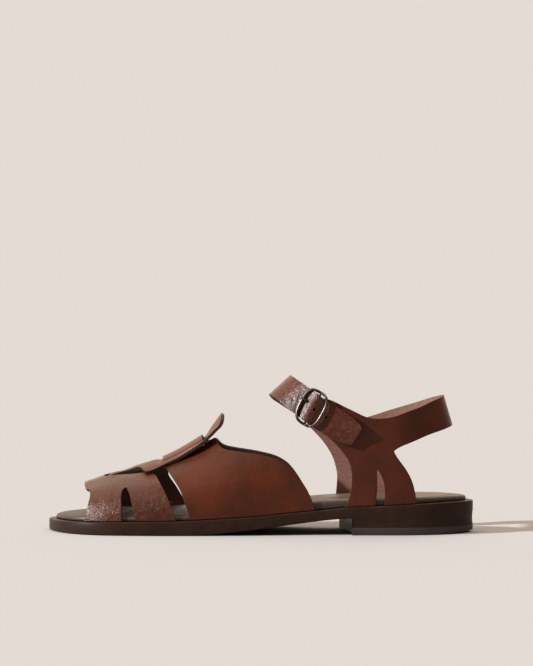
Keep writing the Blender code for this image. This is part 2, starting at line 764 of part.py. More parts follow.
def build_heel_quarters():
    """Both quarters, the rear strap and the tabs that point forward."""
    tab_end, tab_low, tab_high = 3.1, -7.4, 8.6
    cos, sin = math.cos(BUCKLE_SLOPE), math.sin(BUCKLE_SLOPE)

    def tab_corner(across):
        return BUCKLE_X + tab_end * cos + across * sin, BUCKLE_Z - tab_end * sin + across * cos

    def foot_points(start, end, side):
        count = max(1, round(abs(end - start) / 5.0))
        xs = [start + (end - start) * k / count for k in range(1, count)]
        return [(ankle_turn(x, quarter_foot(x), side), quarter_foot(x)) for x in xs]

    front = [(52.0, quarter_foot(52.0)), (54.5, 21.8), (55.8, 27.0), (56.4, 34.6), (55.8, 42.2), (53.2, 48.5),
             (49.4, 53.5), (45.0, 58.0), (40.5, 62.2), (36.0, 66.4), tab_corner(tab_low)]
    top = [tab_corner(tab_high), (41.4, 84.6), (48.9, 81.3), (56.4, 77.6), (63.9, 73.8), (69.0, 72.4),
           (75.0, 72.5), (82.6, 73.6), (91.0, 76.6), (99.3, 79.4), (106.0, 82.4)]
    rear = [(106.0, 62.6), (99.3, 60.0), (91.0, 56.6), (85.0, 54.2), (82.3, 52.2), (83.6, 49.4), (86.8, 45.0),
            (90.2, 40.5), (92.9, 35.4), (95.2, 28.0), (96.7, quarter_foot(96.7))]
    slit = [(76.5, quarter_foot(76.5)), (76.8, 28.6), (75.8, 34.3), (73.9, 38.7), (71.9, 41.0), (71.9, 36.5),
            (72.2, 30.5), (71.0, quarter_foot(71.0))]

    def at_inner(points):
        """Inner side: the quarter stands further forward, the strap doesn't."""
        moved = []
        for x, z in points:
            x += MEDIAL_QUARTER_SHIFT * (1 - ease(z, 34.0, 62.0)) - 2.5 * (1 - ease(z, 58.0, 72.0))
            moved.append((x, quarter_foot(x) if z < 21.0 else z))
        return moved

    inner_tab_top = (35.0, 79.0)
    inner_front = [(46.5, quarter_foot(46.5)), (47.4, 26.6), (47.8, 32.9), (46.8, 38.7), (45.0, 44.4),
                   (41.8, 50.2), (37.6, 55.9), (32.8, 61.0), (29.0, 65.0)]

    loop = smooth_path(outer_side(front), EDGE_STEP)
    tab = smooth_path(outer_side([tab_corner(tab_low), tab_corner(tab_high)]), EDGE_STEP)
    loop += tab[1:-1]
    inner_top = [(106.0, 82.4), (99.3, 79.9), (91.0, 77.2), (82.6, 74.6), (75.0, 72.1), (67.5, 69.6), (60.5, 67.6),
                 (54.0, 68.2), (47.0, 72.2), inner_tab_top]
    crest = outer_side(top) + [(0.0, 85.0)] + inner_side(inner_top)
    loop += smooth_path(crest, EDGE_STEP)
    loop += smooth_path(inner_side([inner_tab_top, inner_front[-1]]), EDGE_STEP)[1:-1]
    loop += smooth_path(inner_side(inner_front[::-1]), EDGE_STEP)
    inner_slit = at_inner(slit[::-1])
    loop += foot_points(inner_front[0][0], inner_slit[0][0], MEDIAL)
    loop += smooth_path(inner_side(inner_slit), EDGE_STEP)
    inner_rear = at_inner(rear[::-1])
    loop += foot_points(inner_slit[-1][0], inner_rear[0][0], MEDIAL)
    loop += smooth_path(inner_side(inner_rear) + [(0.0, 66.6)] + outer_side(rear), EDGE_STEP)
    loop += foot_points(rear[-1][0], slit[0][0], LATERAL)
    loop += smooth_path(outer_side(slit), EDGE_STEP)
    loop += foot_points(slit[-1][0], front[0][0], LATERAL)
    sheet("heel_quarters", [loop], lambda t, z: ankle_place(t, z, quarter_level(t, z)),
          LEATHER, "upper_leather")


# Ankle strap and buckle

FULL_TURN = 2 * math.pi * ANKLE_RADIUS


def strap_level(turn, z):
    """The strap lies on the quarters, rises over the buckle's bar, and its end stands off."""
    if turn < FULL_TURN / 2:
        return LEATHER / 2 + GAP + STRAP_LEATHER / 2
    along, across = strap_axes(ankle_point(turn, z)[0], z)
    level = table_value(STRAP_LEVELS, 1, along)
    return level + 0.16 * across * ease(along, 22.0, 38.0)


def build_ankle_strap():
    """Front strap: sewn to the inner quarter, round the ankle, through the buckle."""
    def over(points):
        return [(turn + FULL_TURN, z) for turn, z in outer_side(points)]

    top = inner_side([(64.0, 66.4), (56.0, 70.3), (45.0, 76.2), (34.0, 83.6), (26.0, 88.4), (21.0, 91.6)])
    top += [(FULL_TURN / 2, 95.4)]
    top += over([(21.0, 95.6), (23.7, 94.4), (28.7, 91.7), (35.3, 87.4), (42.2, 82.4), (50.5, 77.6), (56.5, 73.6),
                 (60.4, 70.0), (62.9, 66.6)])
    bottom = over([(56.2, 56.3), (51.0, 57.2), (45.8, 59.3), (35.6, 65.0), (31.0, 68.2), (21.0, 75.3),
                   (13.0, 81.2), (9.0, 83.4)])
    bottom += [(FULL_TURN / 2, 83.9)]
    bottom += inner_side([(10.0, 79.4), (14.0, 76.6), (21.0, 71.9), (31.0, 64.8), (44.0, 57.4), (56.0, 51.4)])
    loop = smooth_path(top, EDGE_STEP)
    loop += smooth_path([top[-1], bottom[0]], EDGE_STEP)[1:-1]
    loop += smooth_path(bottom, EDGE_STEP)
    loop += smooth_path([bottom[-1], top[0]], EDGE_STEP)[1:-1]

    def on_strap(along, across):
        cos, sin = math.cos(BUCKLE_SLOPE), math.sin(BUCKLE_SLOPE)
        x, z = BUCKLE_X + along * cos + across * sin, BUCKLE_Z - along * sin + across * cos
        return ankle_turn(x, z, LATERAL) + FULL_TURN, z

    angles = [2 * math.pi * k / 10 for k in range(10)]
    prong_hole = [on_strap(-4.35 + 1.75 * math.cos(angle), PRONG_ACROSS + 1.3 * math.sin(angle))
                  for angle in angles]
    bends = [on_strap(along, across) for along in (-7.5, -5.0, -2.8, 0.0, 2.8, 5.0, 7.5)
             for across in (-7.5, -5.0, -2.5, 0.0, 2.5, 5.0, 7.5)]
    sheet("ankle_strap", [loop, prong_hole], lambda t, z: ankle_place(t, z, strap_level(t, z)),
          STRAP_LEATHER, "upper_leather", extra=bends)


# Distance along the strap from the bar, level, radius of the wire
PRONG_PATH = (
    (0.6, -0.62, 0.55),
    (1.3, 0.0, 0.55),
    (1.52, 0.8, 0.55),
    (1.05, 1.9, 0.55),
    (0.0, 2.2, 0.55),
    (-1.4, 1.95, 0.55),
    (-2.7, 1.5, 0.58),
    (-3.8, 1.75, 0.62),
    (-4.5, 3.0, 0.66),
    (-5.3, 4.9, 0.72),
    (-6.3, 5.9, 0.72),
    (-7.3, 5.95, 0.7),
    (-8.2, 5.75, 0.6),
)

# Distance along the strap from the bar, level
FOLD_INNER_LEAF = ((9.0, -1.8), (5.0, -1.75), (2.4, -1.45), (1.2, -0.98))
FOLD_RADIUS = 1.45
PRONG_SLOT = 1.0


def build_buckle():
    """Bowed frame with its centre bar, the prong, and the fold that holds the bar."""
    count = 30
    path = []
    power = 2 / BUCKLE_ROUNDNESS
    for k in range(count):
        angle = 2 * math.pi * k / count
        cos, sin = math.cos(angle), math.sin(angle)
        along = BUCKLE_HALF_LENGTH * math.copysign(abs(cos) ** power, cos)
        across = BUCKLE_HALF_WIDTH * math.copysign(abs(sin) ** power, sin)
        side_level = BUCKLE_REAR_LEVEL if along > 0 else BUCKLE_SIDE_LEVEL
        bow = (side_level - BAR_LEVEL) * ease(abs(along), 0.8, 4.6)
        path.append(buckle_place(along, across, BAR_LEVEL + bow))
    frame = tube("buckle_frame", path, [BUCKLE_WIRE] * count, "gunmetal", closed=True)
    ends = [buckle_place(0.0, side * BUCKLE_HALF_WIDTH, BAR_LEVEL) for side in (-1, 1)]
    bar = tube("buckle_bar", ends, [BAR_WIRE] * 2, "gunmetal")
    join_tubes(frame, bar)

    route = [buckle_place(along, PRONG_ACROSS, level) for along, level, _ in PRONG_PATH]
    tube("buckle_prong", route, [radius for _, _, radius in PRONG_PATH], "gunmetal")

    turn = list(FOLD_INNER_LEAF)
    for k in range(8):
        angle = math.radians(255 - 30 * k)
        turn.append((FOLD_RADIUS * math.cos(angle), BAR_LEVEL + FOLD_RADIUS * math.sin(angle)))
    steps = np.concatenate([[0.0], np.cumsum([math.dist(a, b) for a, b in zip(turn, turn[1:])])])

    def place(run, across):
        along = float(np.interp(run, steps, [p[0] for p in turn]))
        level = float(np.interp(run, steps, [p[1] for p in turn]))
        return buckle_place(along, across, level)

    slot_low, slot_high = PRONG_ACROSS - PRONG_SLOT, PRONG_ACROSS + PRONG_SLOT
    rows = (-7.0, -3.0, slot_low, slot_high, 5.6, 8.2)
    grid = [place(run, across) for run in steps for across in rows]
    faces = []
    for i in range(len(steps) - 1):
        for k in range(len(rows) - 1):
            if rows[k] == slot_low and i >= 2:
                continue
            corner = i * len(rows) + k
            faces.append((corner, corner + 1, corner + len(rows) + 1, corner + len(rows)))
    fold = add_object("buckle_fold", grid, faces, "upper_leather")
    give_thickness(fold, FOLD_LEATHER)


def join_tubes(frame, bar):
    """Make the frame and its bar one solid."""
    graph = bpy.context.evaluated_depsgraph_get()
    for thing in (frame, bar):
        mesh = bpy.data.meshes.new_from_object(thing.evaluated_get(graph))
        solid = bpy.data.objects.new(thing.name + "_solid", mesh)
        bpy.context.scene.collection.objects.link(solid)
    whole, cutter = bpy.data.objects["buckle_frame_solid"], bpy.data.objects["buckle_bar_solid"]
    for thing in (frame, bar):
        bpy.data.objects.remove(thing)
    whole.name = "buckle_frame"
    union = whole.modifiers.new("bar", "BOOLEAN")
    union.operation = "UNION"
    union.solver = "EXACT"
    union.object = cutter
    cutter.hide_render = True
    cutter.display_type = "WIRE"


def make_materials():
    """One Principled material for each finish."""
    for name, (colour, roughness, metallic) in MATERIALS.items():
        material = bpy.data.materials.new(name)
        material.use_nodes = True
        shader = material.node_tree.nodes["Principled BSDF"]
        shader.inputs["Base Color"].default_value = (*colour, 1.0)
        shader.inputs["Roughness"].default_value = roughness
        shader.inputs["Metallic"].default_value = metallic


def main():
    """Build every piece of the sandal."""
    for thing in list(bpy.data.objects):
        bpy.data.objects.remove(thing)
    make_materials()
    build_outsole()
    build_midsole()
    build_heel()
    build_insole()
    build_toe_band()
    build_tongue()
    build_vamp()
    build_heel_quarters()
    build_ankle_strap()
    build_buckle()


main()
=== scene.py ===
"""Dressed model of a left fisherman sandal, with its floor, light and camera.

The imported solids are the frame. Leather sheets are refined from copies of their solids, the
sole, heel and footbed are lofted from the sole's plan, and the buckle is bent from wire.
Sizes are in millimetres unless a name says otherwise, and meshes are in metres.
The toe points to -X, the heel to +X, and the outer side with the buckle faces -Y.
"""

from __future__ import annotations

import logging
import math
from collections.abc import Callable, Iterator
from contextlib import contextmanager
from dataclasses import dataclass, field
from enum import Enum
from functools import partial

import bmesh
import bpy
import numpy as np
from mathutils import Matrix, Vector

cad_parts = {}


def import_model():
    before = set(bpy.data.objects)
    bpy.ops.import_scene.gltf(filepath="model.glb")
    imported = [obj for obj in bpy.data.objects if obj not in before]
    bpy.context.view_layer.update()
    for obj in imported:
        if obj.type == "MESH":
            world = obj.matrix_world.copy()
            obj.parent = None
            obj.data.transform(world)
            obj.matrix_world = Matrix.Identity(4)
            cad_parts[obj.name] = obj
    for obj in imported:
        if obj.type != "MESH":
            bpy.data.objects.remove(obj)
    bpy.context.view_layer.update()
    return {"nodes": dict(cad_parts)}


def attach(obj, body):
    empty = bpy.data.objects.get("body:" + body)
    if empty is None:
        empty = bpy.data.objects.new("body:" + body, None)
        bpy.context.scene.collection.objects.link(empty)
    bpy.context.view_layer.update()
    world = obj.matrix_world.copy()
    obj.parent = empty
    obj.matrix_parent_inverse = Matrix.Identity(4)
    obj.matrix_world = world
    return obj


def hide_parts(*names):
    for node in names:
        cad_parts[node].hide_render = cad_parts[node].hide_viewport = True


LOG = logging.getLogger("sandal")
MM = 0.001
BODY = "root"

Point = tuple[float, float, float]
Socket = bpy.types.NodeSocket

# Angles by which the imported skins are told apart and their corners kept
SKIN_ANGLE = math.radians(52)
QUAD_ANGLE = math.radians(50)
CORNER_ANGLE = math.radians(42)
RIM_ANGLE = math.radians(55)


class Side(Enum):
    """Side of the foot, with the sign of its y."""

    OUTER = -1
    INNER = 1


class Skin(Enum):
    """Faces of a leather sheet, in the order of their material slots."""

    GRAIN = 0
    LINING = 1
    EDGE = 2


class Grain(Enum):
    """Face of the hide."""

    SHRUNKEN = "shrunken"
    SMOOTH = "smooth"


class Core(Enum):
    """What a sheet wraps, which tells its outer skin from its lining."""

    FOOT = "foot"
    ANKLE = "ankle"
    BAR = "bar"


class Level(Enum):
    """Surfaces of the sole, with their columns in the table of heights."""

    UNDERSIDE = 1
    SEAT = 2
    INSOLE = 3


# Plan outline of the sole, from the toe tip along the outer side and back on the inner side
SOLE_OUTLINE = (
    # x, y
    (-132.0, 4.5),
    (-129.0, -12.0),
    (-119.0, -29.5),
    (-104.0, -40.8),
    (-82.0, -45.6),
    (-50.0, -47.0),
    (-15.0, -46.2),
    (25.0, -43.4),
    (60.0, -42.2),
    (88.0, -42.2),
    (106.0, -39.2),
    (120.0, -31.3),
    (129.3, -21.0),
    (132.0, -12.5),
    (129.3, -3.6),
    (120.0, 6.2),
    (105.0, 13.6),
    (84.0, 17.2),
    (60.0, 16.8),
    (38.0, 17.8),
    (16.0, 25.4),
    (-6.0, 35.8),
    (-28.0, 43.8),
    (-50.0, 46.9),
    (-72.0, 45.4),
    (-94.0, 38.4),
    (-113.0, 27.4),
    (-126.5, 16.6),
)

# Heights along the sole: underside of the outsole, top of the midsole and top of the insole
SOLE_HEIGHTS = (
    # x, underside, midsole top, insole top
    (-132.0, 0.4, 7.4, 10.3),
    (-118.0, 0.05, 7.7, 11.1),
    (-102.0, 0.0, 8.1, 11.7),
    (-75.0, 0.0, 8.6, 12.1),
    (-48.0, 0.0, 9.1, 12.6),
    (-36.0, 0.35, 9.7, 13.4),
    (-20.0, 1.8, 10.6, 14.8),
    (-2.0, 3.8, 11.8, 16.7),
    (20.0, 6.8, 14.0, 19.4),
    (40.0, 9.3, 15.8, 21.4),
    (56.0, 10.6, 17.3, 22.3),
    (76.0, 11.5, 18.2, 22.8),
    (97.0, 12.6, 19.3, 23.2),
    (115.0, 13.4, 20.0, 23.4),
    (132.0, 13.4, 19.9, 23.1),
)

# Middle line and half width of the footbed's crown: lengths along the sole, and values there
FOOTBED_MIDDLE = ((-132.0, -50.0, 40.0, 132.0), (4.0, 0.0, -12.0, -12.5))
FOOTBED_HALF_WIDTH = ((-132.0, -100.0, -50.0, 40.0, 100.0, 132.0), (10.0, 38.0, 46.0, 30.0, 28.0, 8.0))

# Level cuts around the ankle, through the leather's middle surface
ANKLE_SECTIONS = (
    # height, front x, back x, outer y, inner y
    (15.0, -12.0, 129.0, -40.5, 14.8),
    (45.0, -14.0, 125.0, -41.5, 15.5),
    (66.0, -9.0, 118.6, -41.5, 16.0),
    (76.0, -0.5, 115.8, -41.0, 16.0),
    (86.2, 9.7, 112.7, -40.5, 15.5),
    (96.8, 21.5, 109.6, -40.0, 15.0),
    (110.0, 36.5, 105.7, -39.5, 14.5),
)

# Prong, from its loop round the bar to its tip
PRONG_PATH = (
    # distance along the strap from the bar, level, radius
    (0.6, -0.62, 0.55),
    (1.3, 0.0, 0.55),
    (1.52, 0.8, 0.55),
    (1.05, 1.9, 0.55),
    (0.0, 2.2, 0.55),
    (-1.4, 1.95, 0.55),
    (-2.7, 1.5, 0.58),
    (-3.8, 1.75, 0.62),
    (-4.5, 3.0, 0.66),
    (-5.3, 4.9, 0.72),
    (-6.3, 5.9, 0.72),
    (-7.3, 5.95, 0.7),
    (-8.2, 5.75, 0.6),
)

# Creases pressed into the ankle strap by its buckle, in the strap's own axes
STRAP_CREASES = (
    # along and across at the start, along and across at the end, height, width
    (-8.4, -6.5, -9.8, 6.5, -0.24, 0.60),
    (-9.6, -3.0, -11.6, 7.0, 0.18, 0.55),
    (-10.8, -6.0, -13.2, 5.5, -0.20, 0.65),
    (-12.6, -5.0, -15.6, 3.0, 0.12, 0.80),
    (-14.6, -6.5, -17.6, 2.5, -0.14, 0.80),
    (-5.4, 2.2, -9.6, 2.6, 0.22, 1.30),
    (-3.4, -7.0, -3.2, 7.0, -0.16, 0.70),
    (1.6, -7.5, 2.4, -1.5, 0.10, 0.60),
    (3.8, -7.0, 4.4, 7.5, -0.14, 0.80),
    (19.5, -5.5, 21.5, 4.0, -0.12, 1.20),
    (27.5, -6.0, 29.0, 3.0, 0.10, 1.40),
)


def table_value(table: tuple[tuple[float, ...], ...], column: int, x: np.ndarray | float) -> np.ndarray:
    """Values of a table's column on a smooth curve through its rows.

    Args:
        table: Rows of numbers, sorted by their first entry.
        column: Entry to read.
        x: Places along the first entry.

    Returns:
        The value at each place.
    """
    rows = np.array(table)
    xs, ys = rows[:, 0], rows[:, column]
    slopes = np.gradient(ys, xs)
    x = np.clip(x, xs[0], xs[-1])
    i = np.clip(np.searchsorted(xs, x) - 1, 0, len(xs) - 2)
    width = xs[i + 1] - xs[i]
    t = (x - xs[i]) / width
    return ((2 * t**3 - 3 * t**2 + 1) * ys[i] + (t**3 - 2 * t**2 + t) * width * slopes[i]
            + (3 * t**2 - 2 * t**3) * ys[i + 1] + (t**3 - t**2) * width * slopes[i + 1])


def ease(value: np.ndarray | float, start: float, end: float) -> np.ndarray:
    """Smooth step between two values.

    Args:
        value: Number or numbers to ease.
        start: Value up to which the step is 0.
        end: Value from which the step is 1.

    Returns:
        The step for each number.
    """
    t = np.clip((np.asarray(value, float) - start) / (end - start), 0.0, 1.0)
    return t * t * (3 - 2 * t)


def linear(hex_colour: str) -> tuple[float, float, float, float]:
    """Turn an sRGB hex colour into linear RGBA.

    Args:
        hex_colour: Colour such as "#5b3020".

    Returns:
        Linear red, green, blue and an alpha of 1.
    """
    channels = []
    for start in (1, 3, 5):
        value = int(hex_colour[start:start + 2], 16) / 255
        channels.append(value / 12.92 if value <= 0.04045 else ((value + 0.055) / 1.055) ** 2.4)
    return (*channels, 1.0)


class NodeFinish:
    """Node material in the making: a Principled shader and the nodes that feed it."""

    def __init__(self, name: str) -> None:
        """Start a material with its shader, output and object coordinates.

        Args:
            name: Name of the finish.
        """
        self.material = bpy.data.materials.new(name)
        self.material.use_nodes = True
        self.tree = self.material.node_tree
        self.tree.nodes.clear()
        self.shader = self.add("ShaderNodeBsdfPrincipled")
        self.add("ShaderNodeOutputMaterial", links={"Surface": self.shader.outputs["BSDF"]})
        self.place = self.add("ShaderNodeTexCoord").outputs["Object"]

    def add(
        self,
        kind: str,
        settings: dict[str | int, object] | None = None,
        links: dict[str | int, Socket] | None = None,
    ) -> bpy.types.Node:
        """Add a shader node with its settings and links.

        Args:
            kind: Blender's name for the node's type.
            settings: Properties and unlinked input values by name or index.
            links: Output sockets that feed the node's inputs, by input name or index.

        Returns:
            The new node.
        """
        node = self.tree.nodes.new(kind)
        for name, value in (settings or {}).items():
            if isinstance(name, str) and hasattr(node, name):
                setattr(node, name, value)
            else:
                node.inputs[name].default_value = value
        for name, socket in (links or {}).items():
            self.tree.links.new(socket, node.inputs[name])
        return node

    def noise(
        self, size: float, detail: float, place: Socket | None = None, **settings: float
    ) -> bpy.types.Node:
        """Add a noise texture.

        Args:
            size: Width of its blotches in millimetres.
            detail: Number of finer layers.
            place: Coordinates, the object's own if left out.
            **settings: Further input values by name.

        Returns:
            The noise node.
        """
        values = {"Scale": 1.0 / (size * MM), "Detail": detail, **settings}
        return self.add("ShaderNodeTexNoise", values, {"Vector": self.place if place is None else place})

    def remap(
        self, value: Socket, source: tuple[float, float], target: tuple[float, float], kind: str = "LINEAR"
    ) -> Socket:
        """Map one range of values onto another, clamped.

        Args:
            value: Socket to map.
            source: Lowest and highest value that comes in.
            target: Values that these two become.
            kind: Blender's name for the interpolation.

        Returns:
            The mapped socket.
        """
        settings = {"interpolation_type": kind, "From Min": source[0], "From Max": source[1],
                    "To Min": target[0], "To Max": target[1]}
        return self.add("ShaderNodeMapRange", settings, {"Value": value}).outputs["Result"]

    def pebbles(self, size: float, gap: float, place: Socket | None = None) -> Socket:
        """Add rounded cells with creases between them.

        Args:
            size: Width of a cell in millimetres.
            gap: Distance from a cell's edge at which its top is reached, as a share of its width.
            place: Coordinates, the object's own if left out.

        Returns:
            Height from 0 in the creases to 1 on the cells.
        """
        cells = self.add("ShaderNodeTexVoronoi", {"feature": "DISTANCE_TO_EDGE", "Scale": 1.0 / (size * MM)},
                         {"Vector": self.place if place is None else place})
        return self.remap(cells.outputs["Distance"], (0.0, gap), (0.0, 1.0), "SMOOTHSTEP")

    def ramp(self, factor: Socket, stops: tuple[tuple[float, str], ...]) -> Socket:
        """Add a colour ramp between hex colours.

        Args:
            factor: Socket that drives the ramp.
            stops: Position and hex colour of each stop.

        Returns:
            The ramp's colour socket.
        """
        node = self.add("ShaderNodeValToRGB", links={"Fac": factor})
        for element, (position, colour) in zip(node.color_ramp.elements, stops, strict=True):
            element.position = position
            element.color = linear(colour)
        return node.outputs["Color"]

    def blend(self, factor: Socket, below: Socket, colour: str) -> Socket:
        """Lay a hex colour over another colour.

        Args:
            factor: Share of the hex colour.
            below: Colour underneath.
            colour: Hex colour on top.

        Returns:
            The blended colour socket.
        """
        mix = self.add("ShaderNodeMix", {"data_type": "RGBA", 7: linear(colour)}, {0: factor, 6: below})
        return mix.outputs[2]

    def bump(self, height: Socket, distance: float, below: Socket | None = None) -> Socket:
        """Add a bump.

        Args:
            height: Socket with the height from 0 to 1.
            distance: Height of the bump in millimetres.
            below: Normal that it lies on, if any.

        Returns:
            The normal socket.
        """
        links = {"Height": height} if below is None else {"Height": height, "Normal": below}
        bump = self.add("ShaderNodeBump", {"Strength": 1.0, "Distance": distance * MM}, links)
        return bump.outputs["Normal"]

    def feed(self, inputs: dict[str, float | Socket | tuple[float, ...]]) -> bpy.types.Material:
        """Give the shader its inputs.

        Args:
            inputs: Socket to link, or fixed value to set, by input name.

        Returns:
            The finished material.
        """
        for name, value in inputs.items():
            if isinstance(value, bpy.types.NodeSocket):
                self.tree.links.new(value, self.shader.inputs[name])
            else:
                self.shader.inputs[name].default_value = value
        return self.material


@dataclass(frozen=True)
class GrainLeather:
    """Drum-dyed full-grain cowhide, waxed.

    The hide's pores and pebbles stay, the dye pools in them, and the wax gives a soft
    shine that spreads wide under a low sun.
    """

    name: str = "waxed_full_grain_cowhide"
    dye: str = "#451a08"
    deep: str = "#351406"
    pooled: str = "#1d0b04"
    rubbed: str = "#552d1c"
    roughness: float = 0.4
    specular: float = 0.4
    mottle: float = 0.4
    pooling: float = 0.5
    pebble: float = 1.15
    pebble_height: float = 0.05
    pebble_bend: float = 0.9
    wrinkle: float = 5.5
    wrinkle_height: float = 0.16
    pore_height: float = 0.012
    wax: float = 0.03
    wax_roughness: float = 0.34

    def material(self) -> bpy.types.Material:
        """Build the node material."""
        finish = NodeFinish(self.name)
        cloud = finish.noise(22.0, 3.0).outputs["Fac"]
        mottle = finish.noise(2.4, 4.0).outputs["Fac"]
        bend = finish.noise(3.0, 2.0).outputs["Color"]
        warp = finish.add("ShaderNodeVectorMath",
                          {"operation": "MULTIPLY_ADD", 1: (self.pebble_bend * MM,) * 3},
                          {0: bend, 2: finish.place})
        pebble = finish.pebbles(self.pebble, 0.22, warp.outputs["Vector"])
        wrinkles = finish.noise(self.wrinkle, 3.0, Roughness=0.6, Distortion=0.6).outputs["Fac"]
        pores = finish.noise(0.35, 2.0).outputs["Fac"]

        base = finish.ramp(cloud, ((0.36, self.deep), (0.64, self.dye)))
        tone = finish.remap(mottle, (0.4, 0.72), (0.0, self.mottle))
        pool = finish.remap(pebble, (0.0, 0.5), (self.pooling, 0.0))
        colour = finish.blend(pool, finish.blend(tone, base, self.rubbed), self.pooled)
        shine = finish.remap(mottle, (0.3, 0.7), (self.roughness - 0.05, self.roughness + 0.09))

        soft = finish.bump(wrinkles, self.wrinkle_height)
        grain = finish.bump(pebble, self.pebble_height, soft)
        fine = finish.bump(pores, self.pore_height, grain)
        return finish.feed({"Base Color": colour, "Roughness": shine, "IOR": 1.5,
                            "Specular IOR Level": self.specular, "Coat Weight": self.wax,
                            "Coat Roughness": self.wax_roughness, "Normal": fine})


@dataclass(frozen=True)
class FootbedLeather:
    """Vegetable-tanned goatskin over foam, pressed smooth: taupe, fine grain, satin.

    Shade is painted on it towards the toe, over the ball of the foot.
    """

    name: str = "goatskin_footbed"
    light: str = "#5c5045"
    dark: str = "#4b4036"
    pooled: str = "#332a22"
    # Painted shade towards the toe: its colour, where it is darkest, where it fades out, and its share
    painted_toe_shade: str = "#211a15"
    darkest_shade_x: float = -95.0
    shade_free_x: float = -10.0
    toe_shade_share: float = 0.85
    pebble: float = 0.8
    pebble_height: float = 0.035
    roughness: float = 0.5
    specular: float = 0.3

    def material(self) -> bpy.types.Material:
        """Build the node material."""
        finish = NodeFinish(self.name)
        cloud = finish.noise(14.0, 4.0).outputs["Fac"]
        pebble = finish.pebbles(self.pebble, 0.2)
        base = finish.ramp(cloud, ((0.35, self.dark), (0.65, self.light)))
        pool = finish.remap(pebble, (0.0, 1.0), (0.35, 0.0))
        unshaded = finish.blend(pool, base, self.pooled)
        # Painted shade: the top is darkened towards the toe
        axes = finish.add("ShaderNodeSeparateXYZ", links={"Vector": finish.place})
        span = (self.darkest_shade_x * MM, self.shade_free_x * MM)
        toe_shade = finish.remap(axes.outputs["X"], span, (self.toe_shade_share, 0.0))
        return finish.feed({"Base Color": finish.blend(toe_shade, unshaded, self.painted_toe_shade),
                            "Roughness": self.roughness, "Specular IOR Level": self.specular,
                            "Normal": finish.bump(pebble, self.pebble_height)})


@dataclass(frozen=True)
class BurnishedSole:
    """Oak-bark sole leather, trimmed, inked and burnished on its edge with a wheel.

    The wheel leaves fine lines along the edge, and ink sinks unevenly into the fibre.
    """

    name: str = "burnished_sole_leather"
    light: str = "#281910"
    dark: str = "#1e120b"
    line: float = 0.55
    line_height: float = 0.05
    line_stretch: float = 0.045
    line_share: float = 0.6
    roughness: float = 0.44
    specular: float = 0.12

    def material(self) -> bpy.types.Material:
        """Build the node material."""
        finish = NodeFinish(self.name)
        stretch = (self.line_stretch, self.line_stretch, 1.0)
        long_way = finish.add("ShaderNodeMapping", {"Scale": stretch}, {"Vector": finish.place})
        lines = finish.noise(self.line, 3.0, long_way.outputs["Vector"]).outputs["Fac"]
        blotch = finish.noise(9.0, 5.0).outputs["Fac"]
        mixed = finish.add("ShaderNodeMath", {"operation": "MULTIPLY_ADD", 1: self.line_share},
                           {0: lines, 2: blotch})
        colour = finish.ramp(mixed.outputs["Value"], ((0.6, self.dark), (1.0, self.light)))
        return finish.feed({"Base Color": colour, "Roughness": self.roughness,
                            "Specular IOR Level": self.specular,
                            "Normal": finish.bump(lines, self.line_height)})


@dataclass(frozen=True)
class TwoToneFinish:
    """Finish whose colour and surface follow one noise. Sizes are in millimetres."""

    name: str
    light: str
    dark: str
    size: float
    detail: float = 2.0
    dark_stop: float = 0.3
    light_stop: float = 0.7
    height: float = 0.0
    roughness: float = 0.5
    specular: float = 0.5
    metallic: float = 0.0

    def material(self) -> bpy.types.Material:
        """Build the node material."""
        finish = NodeFinish(self.name)
        noise = finish.noise(self.size, self.detail).outputs["Fac"]
        if self.height:
            finish.feed({"Normal": finish.bump(noise, self.height)})
        return finish.feed({
            "Base Color": finish.ramp(noise, ((self.dark_stop, self.dark), (self.light_stop, self.light))),
            "Roughness": self.roughness, "Specular IOR Level": self.specular, "Metallic": self.metallic})


@dataclass(frozen=True)
class LiningLeather(TwoToneFinish):
    """Split pigskin lining, undyed on its fibre side, so it is matt and pinkish."""

    name: str = "pigskin_lining"
    light: str = "#7a5346"
    dark: str = "#613f35"
    size: float = 1.2
    detail: float = 5.0
    dark_stop: float = 0.35
    light_stop: float = 0.65
    height: float = 0.05
    roughness: float = 0.72


@dataclass(frozen=True)
class EdgePaint(TwoToneFinish):
    """Acrylic edge paint on a cut leather edge: dark, rounded and a little shiny."""

    name: str = "acrylic_edge_paint"
    light: str = "#2e1c15"
    dark: str = "#1f0d07"
    size: float = 1.6
    light_stop: float = 0.8
    height: float = 0.04
    roughness: float = 0.55
    specular: float = 0.2


@dataclass(frozen=True)
class FootbedWeltAndShade(TwoToneFinish):
    """Dark brown cowhide strip that wraps the footbed's foam all round its side; the same dark colour on the
    steeper part of the rolled edge is painted shade.
    """

    name: str = "cowhide_welt_and_painted_shade"
    light: str = "#33241c"
    dark: str = "#201611"
    size: float = 0.9
    detail: float = 4.0
    dark_stop: float = 0.35
    height: float = 0.05


@dataclass(frozen=True)
class LiftRubber(TwoToneFinish):
    """Moulded natural rubber, buffed, so it is a dull dark brown."""

    name: str = "buffed_natural_rubber"
    light: str = "#291a11"
    dark: str = "#20130c"
    size: float = 0.8
    detail: float = 6.0
    height: float = 0.03
    roughness: float = 0.62


@dataclass(frozen=True)
class Gunmetal(TwoToneFinish):
    """Cast zinc with polished gunmetal plating: dark, bright in its highlights."""

    name: str = "gunmetal_plated_zinc"
    light: str = "#5a5552"
    dark: str = "#454140"
    size: float = 2.5
    detail: float = 4.0
    dark_stop: float = 0.35
    roughness: float = 0.34
    metallic: float = 1.0


@dataclass(frozen=True)
class WaxedThread(TwoToneFinish):
    """Bonded nylon thread, waxed, twisted from three strands."""

    name: str = "waxed_nylon_thread"
    light: str = "#43291f"
    dark: str = "#2a160f"
    size: float = 0.3
    light_stop: float = 0.8


@dataclass(frozen=True)
class PaleFloor:
    """Matt painted studio floor."""

    name: str = "matt_studio_paint"
    colour: str = "#9d9fa1"
    roughness: float = 0.9

    def material(self) -> bpy.types.Material:
        """Build the node material."""
        return NodeFinish(self.name).feed({"Base Color": linear(self.colour), "Roughness": self.roughness,
                                           "Specular IOR Level": 0.0})


